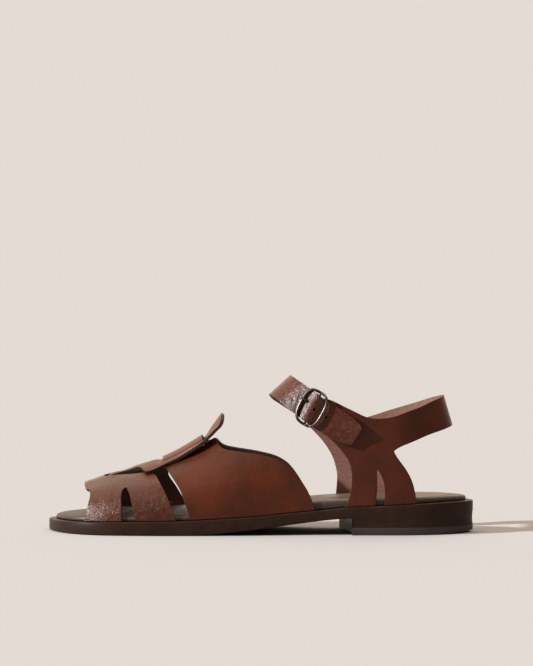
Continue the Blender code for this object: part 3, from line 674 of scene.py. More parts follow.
def only(thing: bpy.types.Object) -> bpy.types.Object:
    """Make one object the only selected and the active one.

    Args:
        thing: Object to select.

    Returns:
        The same object.
    """
    bpy.ops.object.select_all(action="DESELECT")
    thing.select_set(True)
    bpy.context.view_layer.objects.active = thing
    return thing


@contextmanager
def editing(piece: bpy.types.Object) -> Iterator[None]:
    """Hold a piece in edit mode with its whole mesh selected.

    Args:
        piece: Mesh object to edit.

    Yields:
        Nothing.
    """
    only(piece)
    bpy.ops.object.mode_set(mode="EDIT")
    bpy.ops.mesh.select_all(action="SELECT")
    yield
    bpy.ops.object.mode_set(mode="OBJECT")


@contextmanager
def mesh_of(piece: bpy.types.Object) -> Iterator[bmesh.types.BMesh]:
    """Hold a piece's mesh for changes, and write it back.

    Args:
        piece: Mesh object to change.

    Yields:
        The mesh.
    """
    mesh = bmesh.new()
    mesh.from_mesh(piece.data)
    yield mesh
    mesh.to_mesh(piece.data)
    mesh.free()


def apply_modifier(thing: bpy.types.Object, kind: str, **settings: object) -> None:
    """Add a modifier and apply it at once.

    Args:
        thing: Object to change.
        kind: Blender's name for the modifier's type.
        **settings: Values of the modifier's properties.
    """
    modifier = only(thing).modifiers.new(kind.lower(), kind)
    for name, value in settings.items():
        setattr(modifier, name, value)
    bpy.ops.object.modifier_apply(modifier=modifier.name)


def merged_copy(node: bpy.types.Object, name: str) -> bpy.types.Object:
    """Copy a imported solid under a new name, with its loose triangles merged.

    Args:
        node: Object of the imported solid.
        name: Name of the new piece.

    Returns:
        The new piece, which rides on nothing yet.
    """
    piece = bpy.data.objects.new(name, node.data.copy())
    bpy.context.scene.collection.objects.link(piece)
    piece.data.materials.clear()
    with editing(piece):
        bpy.ops.mesh.remove_doubles(threshold=0.002 * MM)
    return piece


def finish_piece(
    piece: bpy.types.Object,
    replaced: tuple[str, ...],
    materials: tuple[bpy.types.Material, ...],
    angle: float = 38.0,
) -> None:
    """Shade a piece, give it its materials and register it with the frame.

    Args:
        piece: Finished piece.
        replaced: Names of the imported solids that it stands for.
        materials: Materials, in the order of the piece's slots.
        angle: Angle in degrees past which an edge stays sharp.
    """
    for material in materials:
        piece.data.materials.append(material)
    only(piece)
    bpy.ops.object.shade_smooth_by_angle(angle=math.radians(angle))
    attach(piece, BODY)
    if replaced:
        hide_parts(*replaced)
    LOG.info("%s: %d faces", piece.name, len(piece.data.polygons))


@dataclass
class Crease:
    """Soft trough or ridge along a line, in millimetres. A positive height stands out."""

    start: Point
    end: Point
    height: float
    width: float
    full: float = 0.35
    tip: float = 0.15

    def heights(self, points: np.ndarray) -> np.ndarray:
        """Heights that the crease adds.

        Args:
            points: Positions in millimetres, one row each.

        Returns:
            Height at each point.
        """
        start, run = np.array(self.start), np.array(self.end) - np.array(self.start)
        along = np.clip((points - start) @ run / (run @ run), 0.0, 1.0)
        away = np.linalg.norm(points - start - along[:, None] * run, axis=1) / self.width
        taper = 1 - ease(np.abs(2 * along - 1), self.full, 1.0)
        return self.height * np.exp(-away * away) * (self.tip + (1 - self.tip) * taper)


@dataclass
class LeatherSheet:
    """Cut sheet of the upper: grain outside, lining inside, painted edge."""

    node: str
    thickness: float
    core: Core
    grain: Grain
    creases: tuple[Crease, ...] = ()
    levels: int = 3
    smoothing: int = 14
    edge_round: float = 0.34
    foot_core_m: tuple[float, float] = (0.002, 0.010)
    ankle_core_m: tuple[float, float] = (0.070, -0.0125)

    def build(
        self, nodes: dict[str, bpy.types.Object], materials: tuple[bpy.types.Material, ...]
    ) -> bpy.types.Object:
        """Refine the solid into a dressed sheet.

        Args:
            nodes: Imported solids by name.
            materials: Grain, lining and edge materials.

        Returns:
            The finished piece.
        """
        piece = merged_copy(nodes[self.node], self.node + "_leather")
        self.keep_outer_skin(piece)
        self.refine(piece)
        self.press_creases(piece)
        for material in materials:
            piece.data.materials.append(material)
        self.thicken(piece)
        finish_piece(piece, (self.node,), ())
        return piece

    def outward(self, centre: Vector) -> Vector:
        """Direction away from what the sheet wraps.

        Args:
            centre: Middle of a face, in metres.

        Returns:
            The direction, not unit length.
        """
        if self.core is Core.FOOT:
            return centre - Vector((centre.x, *self.foot_core_m))
        return centre - Vector((*self.ankle_core_m, centre.z))

    @staticmethod
    def islands(mesh: bmesh.types.BMesh) -> list[list[bmesh.types.BMFace]]:
        """Part a mesh into runs of faces that meet without a sharp edge.

        Args:
            mesh: Closed mesh of a sheet.

        Returns:
            Faces of each run.
        """
        mesh.faces.ensure_lookup_table()
        seen: set[int] = set()
        runs = []
        for first in mesh.faces:
            if first.index in seen:
                continue
            seen.add(first.index)
            run, queue = [], [first]
            while queue:
                face = queue.pop()
                run.append(face)
                for edge in face.edges:
                    if edge.calc_face_angle(math.pi) > SKIN_ANGLE:
                        continue
                    fresh = [other for other in edge.link_faces if other.index not in seen]
                    seen.update(other.index for other in fresh)
                    queue.extend(fresh)
            runs.append(run)
        return runs

    @staticmethod
    def area(run: list[bmesh.types.BMFace]) -> float:
        """Area of a run of faces.

        Args:
            run: The faces.

        Returns:
            Their area in square metres.
        """
        return sum(face.calc_area() for face in run)

    def facing(self, run: list[bmesh.types.BMFace]) -> float:
        """How far a run of faces looks away from what the sheet wraps.

        Args:
            run: The faces.

        Returns:
            A number that is largest for the outer skin.
        """
        return sum(face.normal.dot(self.outward(face.calc_center_median())) * face.calc_area()
                   for face in run)

    def keep_outer_skin(self, piece: bpy.types.Object) -> None:
        """Leave only the grain side's faces, as quads.

        Args:
            piece: Merged copy of the solid.
        """
        with mesh_of(piece) as mesh:
            skins = sorted(self.islands(mesh), key=self.area, reverse=True)[:2]
            areas = (self.area(skin) / MM**2 for skin in skins)
            LOG.info("%s: skins of %.0f and %.0f mm2", self.node, *areas)
            kept = set(skins[0] if self.core is Core.BAR else max(skins, key=self.facing))
            bmesh.ops.delete(mesh, geom=[face for face in mesh.faces if face not in kept], context="FACES")
        with editing(piece):
            bpy.ops.mesh.tris_convert_to_quads(face_threshold=QUAD_ANGLE, shape_threshold=QUAD_ANGLE)
        self.keep_corners(piece)

    @staticmethod
    def keep_corners(piece: bpy.types.Object) -> None:
        """Crease the points where the cut outline turns sharply.

        Args:
            piece: Open skin.
        """
        with mesh_of(piece) as mesh:
            crease = mesh.verts.layers.float.get("crease_vert") or mesh.verts.layers.float.new("crease_vert")
            for vert in mesh.verts:
                rim = [edge for edge in vert.link_edges if edge.is_boundary]
                if len(rim) != 2:
                    continue
                before, after = (edge.other_vert(vert).co - vert.co for edge in rim)
                if before.angle(-after, 0.0) > CORNER_ANGLE:
                    vert[crease] = 0.9

    def refine(self, piece: bpy.types.Object) -> None:
        """Subdivide the skin and smooth it away from its edge.

        Args:
            piece: Open skin.
        """
        apply_modifier(piece, "SUBSURF", levels=self.levels, render_levels=self.levels,
                       boundary_smooth="PRESERVE_CORNERS")
        with mesh_of(piece) as mesh:
            inner = [vert for vert in mesh.verts if not vert.is_boundary]
            for _ in range(self.smoothing):
                bmesh.ops.smooth_vert(mesh, verts=inner, factor=0.5, use_axis_x=True, use_axis_y=True,
                                      use_axis_z=True)

    def press_creases(self, piece: bpy.types.Object) -> None:
        """Move the skin's points along their normals by the creases' heights.

        Args:
            piece: Open fine skin.
        """
        if not self.creases:
            return
        count = len(piece.data.vertices)
        points, normals = np.empty(count * 3), np.empty(count * 3)
        piece.data.vertices.foreach_get("co", points)
        piece.data.vertex_normals.foreach_get("vector", normals)
        points, normals = points.reshape(-1, 3), normals.reshape(-1, 3)
        heights = sum(crease.heights(points / MM) for crease in self.creases)
        moved = points + normals * heights[:, None] * MM
        piece.data.vertices.foreach_set("co", moved.ravel())
        piece.data.update()

    def thicken(self, piece: bpy.types.Object) -> None:
        """Give the skin its lining side and a rounded, painted edge.

        Args:
            piece: Open fine skin.
        """
        apply_modifier(piece, "SOLIDIFY", thickness=self.thickness * MM, offset=-1.0, use_even_offset=True,
                       material_offset=Skin.LINING.value, material_offset_rim=Skin.EDGE.value)
        apply_modifier(piece, "BEVEL", width=self.edge_round * MM, segments=3, limit_method="ANGLE",
                       angle_limit=RIM_ANGLE, material=Skin.EDGE.value)


@dataclass
class SolePlan:
    """Plan and heights of the sole, paired from the outer side to the inner side."""

    stations: int = 170
    spacing: float = 0.6
    midsole_share: float = 0.52
    outline: np.ndarray = field(init=False)
    inward: np.ndarray = field(init=False)
    toe: int = field(init=False)
    heel: int = field(init=False)

    def __post_init__(self) -> None:
        """Draw the outline finely and find its toe and heel tips."""
        knots = np.array(SOLE_OUTLINE)
        points = []
        for i, start in enumerate(knots):
            around = [knots[i - 1], start, knots[(i + 1) % len(knots)], knots[(i + 2) % len(knots)]]
            gaps = [np.linalg.norm(b - a) ** 0.5 for a, b in zip(around, around[1:])]
            times = np.concatenate([[0.0], np.cumsum(gaps)])
            steps = max(1, round(float(np.linalg.norm(around[2] - start)) / self.spacing))
            for k in range(steps):
                points.append(self.through_four(around, times, times[1] + (times[2] - times[1]) * k / steps))
        self.outline = np.array(points)
        tangent = np.roll(self.outline, -1, 0) - np.roll(self.outline, 1, 0)
        tangent /= np.linalg.norm(tangent, axis=1)[:, None]
        self.inward = np.stack([-tangent[:, 1], tangent[:, 0]], 1)
        self.toe = int(np.argmin(self.outline[:, 0]))
        self.heel = int(np.argmax(self.outline[:, 0]))

    @staticmethod
    def through_four(knots: list[np.ndarray], times: np.ndarray, t: float) -> np.ndarray:
        """Point of a centripetal curve between the second and third knots.

        Args:
            knots: Four neighbouring knots.
            times: Their parameters.
            t: Parameter of the point.

        Returns:
            The point.
        """
        points = list(knots)
        for first, last in (((0, 1, 2), (1, 2, 3)), ((0, 1), (2, 3)), ((1,), (2,))):
            points = [a * (times[j] - t) / (times[j] - times[i]) + b * (t - times[i]) / (times[j] - times[i])
                      for a, b, i, j in zip(points, points[1:], first, last)]
        return points[0]

    def half(self, side: Side, inset: float) -> np.ndarray:
        """Outline of one side from toe tip to heel tip, moved inwards.

        Args:
            side: Outer or inner side.
            inset: Distance inwards.

        Returns:
            Points in order, one row each.
        """
        points = self.outline + inset * self.inward
        turned = np.roll(points, -self.toe, 0)
        end = (self.heel - self.toe) % len(points)
        if side is Side.OUTER:
            return turned[:end + 1]
        return np.concatenate([turned[end:], turned[:1]])[::-1]

    def at(self, side: Side, inset: float, start_x: float | None, shares: np.ndarray) -> np.ndarray:
        """Points at shares of one side's length, counted from start_x to the heel tip.

        Args:
            side: Outer or inner side.
            inset: Distance inwards.
            start_x: Where share 0 lies, or None for the toe tip.
            shares: Numbers from 0 to 1.

        Returns:
            One point for each share.
        """
        whole = self.half(side, 0.0)
        moved = self.half(side, inset)
        run = np.concatenate([[0.0], np.cumsum(np.linalg.norm(np.diff(whole, axis=0), axis=1))])
        begin = 0.0 if start_x is None else float(np.interp(start_x, whole[:, 0], run))
        wanted = begin + shares * (run[-1] - begin)
        return np.stack([np.interp(wanted, run, moved[:, 0]), np.interp(wanted, run, moved[:, 1])], 1)

    @staticmethod
    def height(level: Level, flat: np.ndarray) -> np.ndarray:
        """Height of a surface of the sole, of which the underside never lies below the floor.

        Args:
            level: Surface of the sole.
            flat: Points in plan, one row each.

        Returns:
            The height at each point.
        """
        value = table_value(SOLE_HEIGHTS, level.value, flat[:, 0])
        return np.maximum(value, 0.0) if level is Level.UNDERSIDE else value

    def joint(self, flat: np.ndarray) -> np.ndarray:
        """Joint between outsole and midsole.

        Args:
            flat: Points in plan, one row each.

        Returns:
            The height at each point.
        """
        under, top = self.height(Level.UNDERSIDE, flat), self.height(Level.SEAT, flat)
        return top - self.midsole_share * (top - under)


@dataclass(frozen=True)
class Row:
    """Row of a layer's profile: how far in it lies, over which surface and how high."""

    inset: float
    surface: Callable[[np.ndarray], np.ndarray]
    above: float = 0.0

    def lay(self, flat: np.ndarray) -> np.ndarray:
        """Raise plan points to the row's height.

        Args:
            flat: Points in plan, one row each.

        Returns:
            The points with their heights.
        """
        return np.column_stack([flat, self.surface(flat) + self.above])


def bend_grid(name: str, points: np.ndarray, merge: float, dissolve: bool = False) -> bpy.types.Object:
    """Bend a grid primitive to given points and close its seams.

    Args:
        name: Name of the piece.
        points: Points in millimetres, by place along the grid and place across it.
        merge: Distance in millimetres below which points become one.
        dissolve: Whether faces without an area are taken out too.

    Returns:
        The new mesh object.
    """
    long_way, around = points.shape[0] - 1, points.shape[1] - 1
    bpy.ops.object.select_all(action="DESELECT")
    bpy.ops.mesh.primitive_grid_add(x_subdivisions=long_way, y_subdivisions=around, size=1.0)
    piece = bpy.context.active_object
    piece.name = piece.data.name = name
    grid = np.empty(len(piece.data.vertices) * 3)
    piece.data.vertices.foreach_get("co", grid)
    grid = grid.reshape(-1, 3) + 0.5
    i = np.rint(grid[:, 0] * long_way).astype(int)
    k = np.rint(grid[:, 1] * around).astype(int)
    piece.data.vertices.foreach_set("co", (points[i, k] * MM).ravel())
    with editing(piece):
        bpy.ops.mesh.remove_doubles(threshold=merge * MM)
        if dissolve:
            bpy.ops.mesh.dissolve_degenerate(threshold=merge * MM)
        bpy.ops.mesh.normals_make_consistent(inside=False)
    return piece


@dataclass
class SoleLayer:
    """Layer of the sole or heel, lofted in rows from its front to the heel tip.

    The profile runs up the side from the underside to the top. The front gives the x of
    the layer's front on the outer and the inner side, where it doesn't start at the toe.
    """

    name: str
    node: str
    slot: str
    plan: SolePlan
    profile: tuple[Row, ...]
    front: tuple[float, float] | None = None
    hollow: float = 0.0
    hollow_share: float = 0.45
    across: int = 40
    end_packing: float = 0.45
    merge: float = 0.004

    def section(self, shares: np.ndarray) -> np.ndarray:
        """Closed section at each share of the length.

        Args:
            shares: Numbers from 0 at the front to 1 at the heel tip.

        Returns:
            Array of sections, each a closed ring of points.
        """
        outer, inner = (
            [self.plan.at(side, row.inset, start, shares) for row in self.profile]
            for side, start in zip(Side, self.front or (None, None))
        )
        bow = self.hollow * (1 - ease(shares, 0.0, self.hollow_share))
        rows = []
        passes = ((outer, inner, self.profile), (inner[::-1], outer[::-1], self.profile[::-1]))
        for near, far, profile in passes:
            for k in range(self.across):
                t = k / self.across
                flat = near[0] * (1 - t) + far[0] * t
                flat = flat + np.stack([4 * t * (1 - t) * bow, np.zeros_like(bow)], 1)
                rows.append(profile[0].lay(flat))
            rows.extend(row.lay(flat) for row, flat in zip(profile[:-1], far))
        rows.append(rows[0])
        return np.array(rows)

    def build(self, materials: tuple[bpy.types.Material, ...]) -> bpy.types.Object:
        """Loft the layer.

        Args:
            materials: Materials of the piece.

        Returns:
            The finished piece.
        """
        even = np.linspace(0, 1, self.plan.stations + 1)
        packed = (1 - np.cos(math.pi * even)) / 2
        shares = self.end_packing * packed + (1 - self.end_packing) * even
        sections = self.section(shares).transpose(1, 0, 2)
        if self.front is not None:
            middle = sections[0].copy()
            middle[:, 2] = (sections[0, :, 2].min() + sections[0, :, 2].max()) / 2
            sections = np.concatenate([middle[None], sections])
        piece = bend_grid(self.name, sections, self.merge, dissolve=True)
        finish_piece(piece, (self.node,), materials)
        return piece


@dataclass
class SoleUnit:
    """Outsole, midsole, heel and footbed."""

    plan: SolePlan = field(default_factory=SolePlan)
    insole_inset: float = 4.4
    lift_height: float = 4.7
    lift_gap: float = 0.02
    seat_overlap: float = 1.1
    breast: tuple[float, float] = (56.4, 49.0)
    breast_hollow: float = 3.0
    waist: float = 0.5
    rear_lift: float = 1.5
    # Faces whose normal rises less than this take the dark welt finish; on the rolled edge it is painted
    # shade
    welt_and_shade_slope: float = 0.86

    def outsole(self) -> SoleLayer:
        """Outsole with a rounded lower edge."""
        under = partial(self.plan.height, Level.UNDERSIDE)
        profile = (Row(1.1, under), Row(0.6, under, 0.08), Row(0.25, under, 0.28), Row(0.06, under, 0.6),
                   Row(0.0, under, 1.0), Row(0.0, self.plan.joint))
        return SoleLayer("outsole_leather", "outsole", "sole_leather", self.plan, profile)

    def midsole(self) -> SoleLayer:
        """Midsole with a bevel that catches the light along its upper edge."""
        seat = partial(self.plan.height, Level.SEAT)
        profile = (Row(0.0, self.plan.joint), Row(0.0, seat, -0.7), Row(0.1, seat, -0.4),
                   Row(0.35, seat, -0.13), Row(0.8, seat))
        return SoleLayer("midsole_leather", "midsole", "sole_leather", self.plan, profile)

    def footbed_top(self, flat: np.ndarray) -> np.ndarray:
        """Top of the footbed, with its heel cup and its crown at the ball.

        Args:
            flat: Points in plan, one row each.

        Returns:
            The height at each point.
        """
        x, y = flat.T
        middle = np.interp(x, *FOOTBED_MIDDLE)
        off = np.clip(np.abs(y - middle) / np.interp(x, *FOOTBED_HALF_WIDTH), 0, 1)
        cup = 0.55 * ease(x, 40.0, 75.0) * (1 - ease(off, 0.25, 0.85))
        crown = 0.25 * (1 - ease(x, -20.0, 30.0)) * ease(x, -120.0, -90.0) * (1 - off**2)
        return self.plan.height(Level.INSOLE, flat) - cup + crown - 0.25 * ease(off, 0.8, 1.0)

    def footbed(self) -> SoleLayer:
        """Padded footbed with a rolled edge."""
        inset = self.insole_inset
        seat, crest = (partial(self.plan.height, level) for level in (Level.SEAT, Level.INSOLE))
        profile = (Row(inset + 0.5, seat, 0.3), Row(inset + 0.08, seat, 0.6), Row(inset, seat, 1.1),
                   Row(inset + 0.05, crest, -1.75), Row(inset + 0.35, crest, -1.05),
                   Row(inset + 0.9, crest, -0.58), Row(inset + 1.8, crest, -0.31),
                   Row(inset + 3.2, self.footbed_top))
        return SoleLayer("footbed", "insole", "insole_leather", self.plan, profile)

    def lift_bottom(self, flat: np.ndarray) -> np.ndarray:
        """Underside of the top lift, which rises a little at the back.

        Args:
            flat: Points in plan, one row each.

        Returns:
            The height at each point.
        """
        return self.rear_lift * (np.maximum(0.0, flat[:, 0] - 98.0) / 34.0) ** 2

    def between(self, share: float, flat: np.ndarray) -> np.ndarray:
        """Height between the top lift and the sole above the heel.

        Args:
            share: 0 on the lift, 1 where the heel meets the sole.
            flat: Points in plan, one row each.

        Returns:
            The height at each point.
        """
        low = self.lift_height + self.lift_gap
        return low + share * (self.plan.height(Level.UNDERSIDE, flat) + self.seat_overlap - low)

    def heel(self) -> tuple[SoleLayer, SoleLayer]:
        """Stacked heel block and its top lift."""
        bottom, level = self.lift_bottom, partial(self.between, 0.0)
        lift_top = -self.lift_gap
        lift = (Row(0.6, bottom), Row(0.15, bottom, 0.2), Row(0.0, bottom, 0.55),
                Row(0.0, level, lift_top - 0.15), Row(0.12, level, lift_top))
        waists = ((0.6, 0.2), (0.9, 0.4), (0.8, 0.6), (0.4, 0.8), (0.0, 0.94), (0.0, 1.0))
        stack = (Row(0.12, level), Row(0.06, level, 0.15),
                 *(Row(depth * self.waist, partial(self.between, share)) for depth, share in waists))
        return (SoleLayer("heel_stack_leather", "heel_stack", "sole_leather", self.plan, stack, self.breast,
                          self.breast_hollow),
                SoleLayer("top_lift_rubber", "top_lift", "lift_rubber", self.plan, lift, self.breast,
                          self.breast_hollow))

    def paint_welt_and_shade(self, footbed: bpy.types.Object) -> None:
        """Give the footbed's side, underside and the steeper part of its rolled edge the second material,
        which on the rolled edge is painted shade.

        Args:
            footbed: Finished footbed.
        """
        for face in footbed.data.polygons:
            # Steep faces get the welt colour, which is painted shade where they lie on the rolled edge
            if face.normal.z < self.welt_and_shade_slope:
                face.material_index = 1

    def build(self) -> None:
        """Build and dress the sole's pieces."""
        edge = BurnishedSole().material()
        self.outsole().build((edge,))
        self.midsole().build((edge,))
        stack, lift = self.heel()
        stack.build((edge,))
        lift.build((LiftRubber().material(),))
        footbed = self.footbed().build((FootbedLeather().material(), FootbedWeltAndShade().material()))
        self.paint_welt_and_shade(footbed)


@dataclass
class AnkleSurface:
    """Middle surface of the quarters, with the strap's own axes at the buckle."""

    fullness: float = 2.3
    bar_x: float = 32.3
    bar_z: float = 78.4
    slope: float = math.radians(29)
    strap_face: float = 2.8
    turn: float = 0.018
    rise: float = 0.8

    def point(self, angle: float, z: float) -> np.ndarray:
        """Point of the surface.

        Args:
            angle: Angle from the back, negative to the outer side.
            z: Height.

        Returns:
            The point.
        """
        front, back, outer, inner = (float(table_value(ANKLE_SECTIONS, column, z)) for column in (1, 2, 3, 4))
        power = 2 / self.fullness
        cos, sin = math.cos(angle), math.sin(angle)
        x = (front + back) / 2 + (back - front) / 2 * math.copysign(abs(cos) ** power, cos)
        y = (outer + inner) / 2 + (inner - outer) / 2 * math.copysign(abs(sin) ** power, sin)
        return np.array((x, y, z))

    def on_side(self, side: Side, x: float, z: float, level: float) -> np.ndarray:
        """Point at x and z on one side, raised outwards.

        Args:
            side: Outer or inner side.
            x: Length along the shoe.
            z: Height.
            level: Distance outwards from the surface.

        Returns:
            The point.
        """
        front, back = (float(table_value(ANKLE_SECTIONS, column, z)) for column in (1, 2))
        share = min(max((2 * x - front - back) / (back - front), -1.0), 1.0)
        angle = side.value * math.acos(math.copysign(abs(share) ** (self.fullness / 2), share))
        along = self.point(angle + self.turn, z) - self.point(angle - self.turn, z)
        up = self.point(angle, z + self.rise) - self.point(angle, z - self.rise)
        normal = np.cross(along, up)
        return self.point(angle, z) + level * normal / np.linalg.norm(normal)

    def at_buckle(self, along: float, across: float, level: float) -> np.ndarray:
        """Point given along and across the strap from the middle of the buckle's bar.

        Args:
            along: Distance towards the strap's loose end.
            across: Distance towards the strap's upper edge.
            level: Distance outwards.

        Returns:
            The point.
        """
        cos, sin = math.cos(self.slope), math.sin(self.slope)
        x = self.bar_x + along * cos + across * sin
        z = self.bar_z - along * sin + across * cos
        return self.on_side(Side.OUTER, x, z, level)


@dataclass
class Upper:
    """Band, tongue, side panels, quarters and ankle strap."""

    thickness: float = 1.8
    strap_thickness: float = 1.6
    fold_thickness: float = 1.0
    ankle: AnkleSurface = field(default_factory=AnkleSurface)

    def strap_creases(self) -> tuple[Crease, ...]:
        """Wrinkles round the prong, over the bar and along the loose end."""
        creases = []
        for along, across, end_along, end_across, height, width in STRAP_CREASES:
            start = tuple(self.ankle.at_buckle(along, across, self.ankle.strap_face))
            end = tuple(self.ankle.at_buckle(end_along, end_across, self.ankle.strap_face))
            creases.append(Crease(start, end, height, width))
        return tuple(creases)

    def sheets(self) -> tuple[LeatherSheet, ...]:
        """Sheets of the upper with their creases."""
        band = (
            Crease((-103.0, -36.0, 17.0), (-91.0, -41.0, 15.5), -0.22, 1.5),
            Crease((-101.0, -33.5, 21.5), (-90.0, -38.0, 20.5), 0.16, 1.6),
            Crease((-80.0, -41.5, 19.0), (-64.0, -43.0, 20.5), -0.20, 1.8),
            Crease((-78.0, -39.0, 24.5), (-66.0, -40.5, 26.0), 0.14, 1.8),
            Crease((-96.0, 36.0, 17.0), (-86.0, 39.0, 16.0), -0.20, 1.6),
        )
        tongue = (
            Crease((-35.0, -13.0, 57.0), (-35.0, 13.0, 57.0), -0.30, 2.4),
            Crease((-70.0, -15.0, 41.0), (-70.0, 15.0, 41.0), -0.20, 2.2),
            Crease((-88.0, -5.0, 36.5), (-82.0, 5.0, 38.5), 0.12, 2.0),
        )
        vamp = (
            Crease((-50.0, -43.0, 25.0), (-26.0, -43.5, 18.0), -0.35, 4.2),
            Crease((-46.0, -38.0, 36.0), (-18.0, -42.5, 26.0), 0.22, 5.0),
            Crease((0.0, -40.0, 43.0), (15.0, -42.0, 27.0), -0.28, 4.5),
            Crease((-44.0, 42.0, 25.0), (-22.0, 40.0, 19.0), -0.35, 4.2),
            Crease((-2.0, 33.0, 42.0), (10.0, 31.0, 27.0), -0.25, 4.5),
        )
        quarters = (
            Crease((62.0, -41.5, 60.0), (86.0, -41.0, 57.0), -0.30, 3.2),
            Crease((57.0, -41.5, 40.0), (66.0, -41.5, 50.0), 0.20, 3.6),
            Crease((92.0, -38.0, 66.0), (108.0, -27.0, 73.0), -0.18, 3.0),
            Crease((60.0, 16.0, 60.0), (84.0, 16.0, 56.0), -0.30, 3.2),
        )
        return (
            LeatherSheet("toe_band", self.thickness, Core.FOOT, Grain.SHRUNKEN, band),
            LeatherSheet("tongue", self.thickness, Core.FOOT, Grain.SMOOTH, tongue),
            LeatherSheet("vamp", self.thickness, Core.FOOT, Grain.SMOOTH, vamp),
            LeatherSheet("heel_quarters", self.thickness, Core.ANKLE, Grain.SMOOTH, quarters),
            LeatherSheet("ankle_strap", self.strap_thickness, Core.ANKLE, Grain.SHRUNKEN,
                         self.strap_creases()),
            LeatherSheet("buckle_fold", self.fold_thickness, Core.BAR, Grain.SHRUNKEN, levels=2, smoothing=4,
                         edge_round=0.25),
        )

    def build(self, nodes: dict[str, bpy.types.Object]) -> None:
        """Build and dress the upper.

        Args:
            nodes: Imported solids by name.
        """
        grains = {
            Grain.SHRUNKEN: GrainLeather("shrunken_full_grain_cowhide", pebble=1.4, pebble_height=0.06,
                                         wrinkle_height=0.42, wrinkle=3.0, roughness=0.33,
                                         specular=0.26).material(),
            Grain.SMOOTH: GrainLeather("smooth_full_grain_cowhide", pebble_height=0.022, wrinkle_height=0.1,
                                       roughness=0.4, specular=0.18, mottle=0.05, pooling=0.08).material(),
        }
        lining, edge = LiningLeather().material(), EdgePaint().material()
        for sheet in self.sheets():
            sheet.build(nodes, (grains[sheet.grain], lining, edge))


def wire(
    name: str, centres: np.ndarray, radii: np.ndarray, up: np.ndarray, closed: bool, around: int = 20
) -> bpy.types.Object:
    """Bend a grid primitive into a round wire.

    Args:
        name: Name of the piece.
        centres: Points of the wire's middle line, in millimetres.
        radii: Radius at each point.
        up: Direction at each point that is not along the wire.
        closed: True for a ring, whose first point isn't repeated.
        around: Faces around the wire.

    Returns:
        The new mesh object.
    """
    if closed:
        centres, radii, up = (np.concatenate([part, part[:1]]) for part in (centres, radii, up))
        run = np.roll(centres[:-1], -1, 0) - np.roll(centres[:-1], 1, 0)
        run = np.concatenate([run, run[:1]])
    else:
        run = np.gradient(centres, axis=0)
    run /= np.linalg.norm(run, axis=1)[:, None]
    side = np.cross(run, up)
    side /= np.linalg.norm(side, axis=1)[:, None]
    rise = np.cross(side, run)
    angles = np.linspace(0.0, 2 * math.pi, around + 1)[None, :, None]
    offsets = np.cos(angles) * side[:, None] + np.sin(angles) * rise[:, None]
    return bend_grid(name, centres[:, None] + radii[:, None, None] * offsets, merge=0.002)


@dataclass
class Buckle:
    """Bowed wire frame with a centre bar, and its prong."""

    surface: AnkleSurface = field(default_factory=AnkleSurface)
    half_length: float = 6.95
    half_width: float = 11.0
    roundness: float = 3.0
    wire_radius: float = 0.9
    bar_radius: float = 0.7
    bar_level: float = 0.8
    front_level: float = 4.15
    rear_level: float = 4.9
    prong_across: float = 2.2
    segments: int = 144

    def frame(self) -> bpy.types.Object:
        """Bend the outer ring and set the bar into it."""
        power = 2 / self.roundness
        centres, up = [], []
        for k in range(self.segments):
            angle = 2 * math.pi * k / self.segments
            cos, sin = math.cos(angle), math.sin(angle)
            along = self.half_length * math.copysign(abs(cos) ** power, cos)
            across = self.half_width * math.copysign(abs(sin) ** power, sin)
            top = self.rear_level if along > 0 else self.front_level
            level = self.bar_level + (top - self.bar_level) * float(ease(abs(along), 0.8, 4.6))
            centres.append(self.surface.at_buckle(along, across, level))
            up.append(self.surface.at_buckle(along, across, level + 1.0) - centres[-1])
        radii = np.full(self.segments, self.wire_radius)
        ring = wire("buckle_frame_wire", np.array(centres), radii, np.array(up), True)
        apply_modifier(ring, "SMOOTH", factor=0.5, iterations=3)
        places = np.linspace(-self.half_width, self.half_width, 25)
        line, above = (np.array([self.surface.at_buckle(0.0, across, level) for across in places])
                       for level in (self.bar_level, self.bar_level + 1.0))
        radii = np.full(len(places), self.bar_radius)
        radii[0] = radii[-1] = 0.01
        bar = wire("buckle_bar_wire", line, radii, above - line, False)
        only(ring)
        bar.select_set(True)
        bpy.ops.object.join()
        return ring

    def prong(self) -> bpy.types.Object:
        """Bend the prong from its loop to its rounded tip."""
        path = np.array(PRONG_PATH)
        steps = np.concatenate([[0.0], np.cumsum(np.linalg.norm(np.diff(path[:, :2], axis=0), axis=1))])
        rows = tuple((step, *row) for step, row in zip(steps, path))
        fine = np.linspace(0.0, steps[-1], 61)
        along, level, radius = (table_value(rows, column, fine) for column in (1, 2, 3))
        radius = np.minimum(radius, 0.02 + np.sqrt(np.maximum(0.0, 1.1 * (steps[-1] - fine))))
        radius[0] = 0.02
        side = self.prong_across
        centres = np.array([self.surface.at_buckle(a, side, b) for a, b in zip(along, level)])
        across = np.array([self.surface.at_buckle(a, side + 1.0, b) for a, b in zip(along, level)]) - centres
        return wire("buckle_prong_wire", centres, radius, across, False, around=16)

    def build(self) -> None:
        """Build and dress the buckle."""
        metal = Gunmetal().material()
        finish_piece(self.frame(), ("buckle_frame",), (metal,), angle=80.0)
        finish_piece(self.prong(), ("buckle_prong",), (metal,), angle=80.0)


